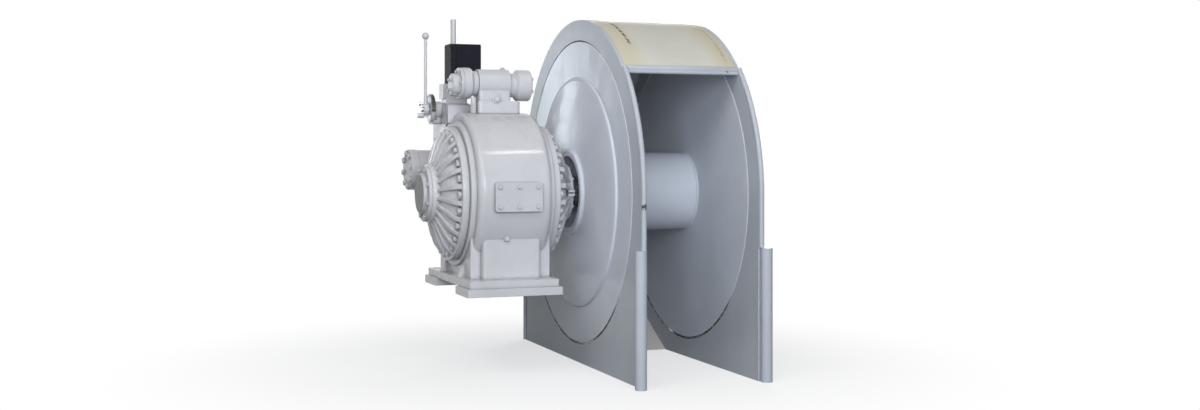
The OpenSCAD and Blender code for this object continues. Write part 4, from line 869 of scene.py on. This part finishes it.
class WINCH_OT_stage(bpy.types.Operator):
    """Makes the floor, the lamps, the room light and the camera"""
    bl_idname = "winch.stage"
    bl_label = "Stage"

    def execute(self, context):
        s = context.scene.winch_stage
        middle = Vector((0.4, 0.0, 0.5))
        bpy.ops.mesh.primitive_plane_add(size=60, location=(0, 0, GROUND - 0.001))
        floor = named("floor")
        settle(floor)
        edit(floor)
        bpy.ops.mesh.subdivide(number_cuts=3)
        leave()
        floor.data.materials.append(pale_floor("pale_floor", (0.97, 0.97, 0.97), 0.20, middle))

        lamps = (("key", s.key, (-3.6, -3.4, 4.6), middle, (3.2, 3.2), (1.0, 0.98, 0.95)),
                 ("front", s.front, (-2.6, -7.2, 1.5), middle, (3.0, 3.0), (0.87, 0.93, 1.0)),
                 ("middle", s.middle, (0.4, -7.8, 2.4), middle, (2.4, 2.4), (0.87, 0.93, 1.0)),
                 ("top", s.top, (-0.5, -4.6, 5.0), middle, (3.0, 3.0), (1.0, 0.98, 0.93)),
                 ("window", s.window, (-0.94, 4.6, 1.42), (0.6, 0.0, 1.05), (0.34, 1.1), (0.82, 0.92, 1.0)),
                 ("back", s.back, (4.2, 5.0, 1.9), (0.8, 0.2, 0.4), (3.0, 3.0), (0.95, 0.97, 1.0)),
                 ("tube", s.sparkle * 0.6, (1.3, -2.4, 4.4), (0.0, 0.0, 0.7), (0.5, 0.3), (1.0, 0.99, 0.97)),
                 ("skylight", s.sparkle, (-3.0, -0.6, 4.2), (-0.1, 0.0, 0.8), (0.45, 0.8), (0.93, 0.96, 1.0)),
                 ("door", s.sparkle * 0.8, (-4.2, -5.0, 2.2), (-0.2, 0.0, 0.5), (0.35, 0.9), (0.9, 0.95, 1.0)))
        for name, power, place, aim, size, colour in lamps:
            bpy.ops.object.light_add(type="AREA", location=place)
            lamp = bpy.context.object
            lamp.name = name
            lamp.data.shape = "RECTANGLE"
            lamp.data.energy = power
            lamp.data.size, lamp.data.size_y = size
            lamp.data.color = colour
            lamp.rotation_euler = (Vector(aim) - Vector(place)).to_track_quat("-Z", "Y").to_euler()

        world = bpy.data.worlds.new("room")
        context.scene.world = world
        room = NodeTree(world)
        dim = room.node("ShaderNodeBackground", {}, (0.86, 0.92, 1.0), s.sky)
        white = room.node("ShaderNodeBackground", {}, (1.0, 1.0, 1.0), 1.0)
        room.node("ShaderNodeOutputWorld", {}, room.node("ShaderNodeMixShader", {}, room.seen(), dim, white))

        bpy.ops.object.camera_add(location=CAMERA_PLACE, rotation=(math.radians(90), 0, math.radians(CAMERA_TURN)))
        camera = bpy.context.object
        camera.data.lens = s.lens
        camera.data.sensor_width = 36.0
        camera.data.shift_y = CAMERA_SHIFT
        camera.data.clip_end = 200
        context.scene.camera = camera
        context.scene.view_settings.view_transform = "Standard"
        return {"FINISHED"}


OPERATORS = (WINCH_OT_stage, WINCH_OT_finishes, WINCH_OT_cast_covers, WINCH_OT_cast_valve, WINCH_OT_lip_moulding,
             WINCH_OT_frame_welds, WINCH_OT_drum_welds, WINCH_OT_box_fittings, WINCH_OT_small_fittings)


class WINCH_PT_panel(bpy.types.Panel):
    """The winch's steps, in order"""
    bl_idname = "WINCH_PT_panel"
    bl_label = "Fishing winch"
    bl_space_type = "VIEW_3D"
    bl_region_type = "UI"
    bl_category = "Winch"

    def draw(self, context):
        for group in ("winch_finishes", "winch_fittings", "winch_stage"):
            settings = getattr(context.scene, group)
            box = self.layout.box()
            for key in settings.bl_rna.properties.keys():
                if key not in {"rna_type", "name"}:
                    box.prop(settings, key)
        for operator in OPERATORS:
            self.layout.operator(operator.bl_idname)


CLASSES = (WinchFinishes, WinchFittings, WinchStage, *OPERATORS, WINCH_PT_panel)


def register():
    for c in CLASSES:
        bpy.utils.register_class(c)
    bpy.types.Scene.winch_finishes = bpy.props.PointerProperty(type=WinchFinishes)
    bpy.types.Scene.winch_fittings = bpy.props.PointerProperty(type=WinchFittings)
    bpy.types.Scene.winch_stage = bpy.props.PointerProperty(type=WinchStage)


def unregister():
    for group in ("winch_finishes", "winch_fittings", "winch_stage"):
        delattr(bpy.types.Scene, group)
    for c in reversed(CLASSES):
        bpy.utils.unregister_class(c)


def main():
    register()
    bpy.ops.object.select_all(action="DESELECT")
    for operator in OPERATORS:
        family, name = operator.bl_idname.split(".")
        getattr(getattr(bpy.ops, family), name)()


if __name__ == "__main__":
    main()
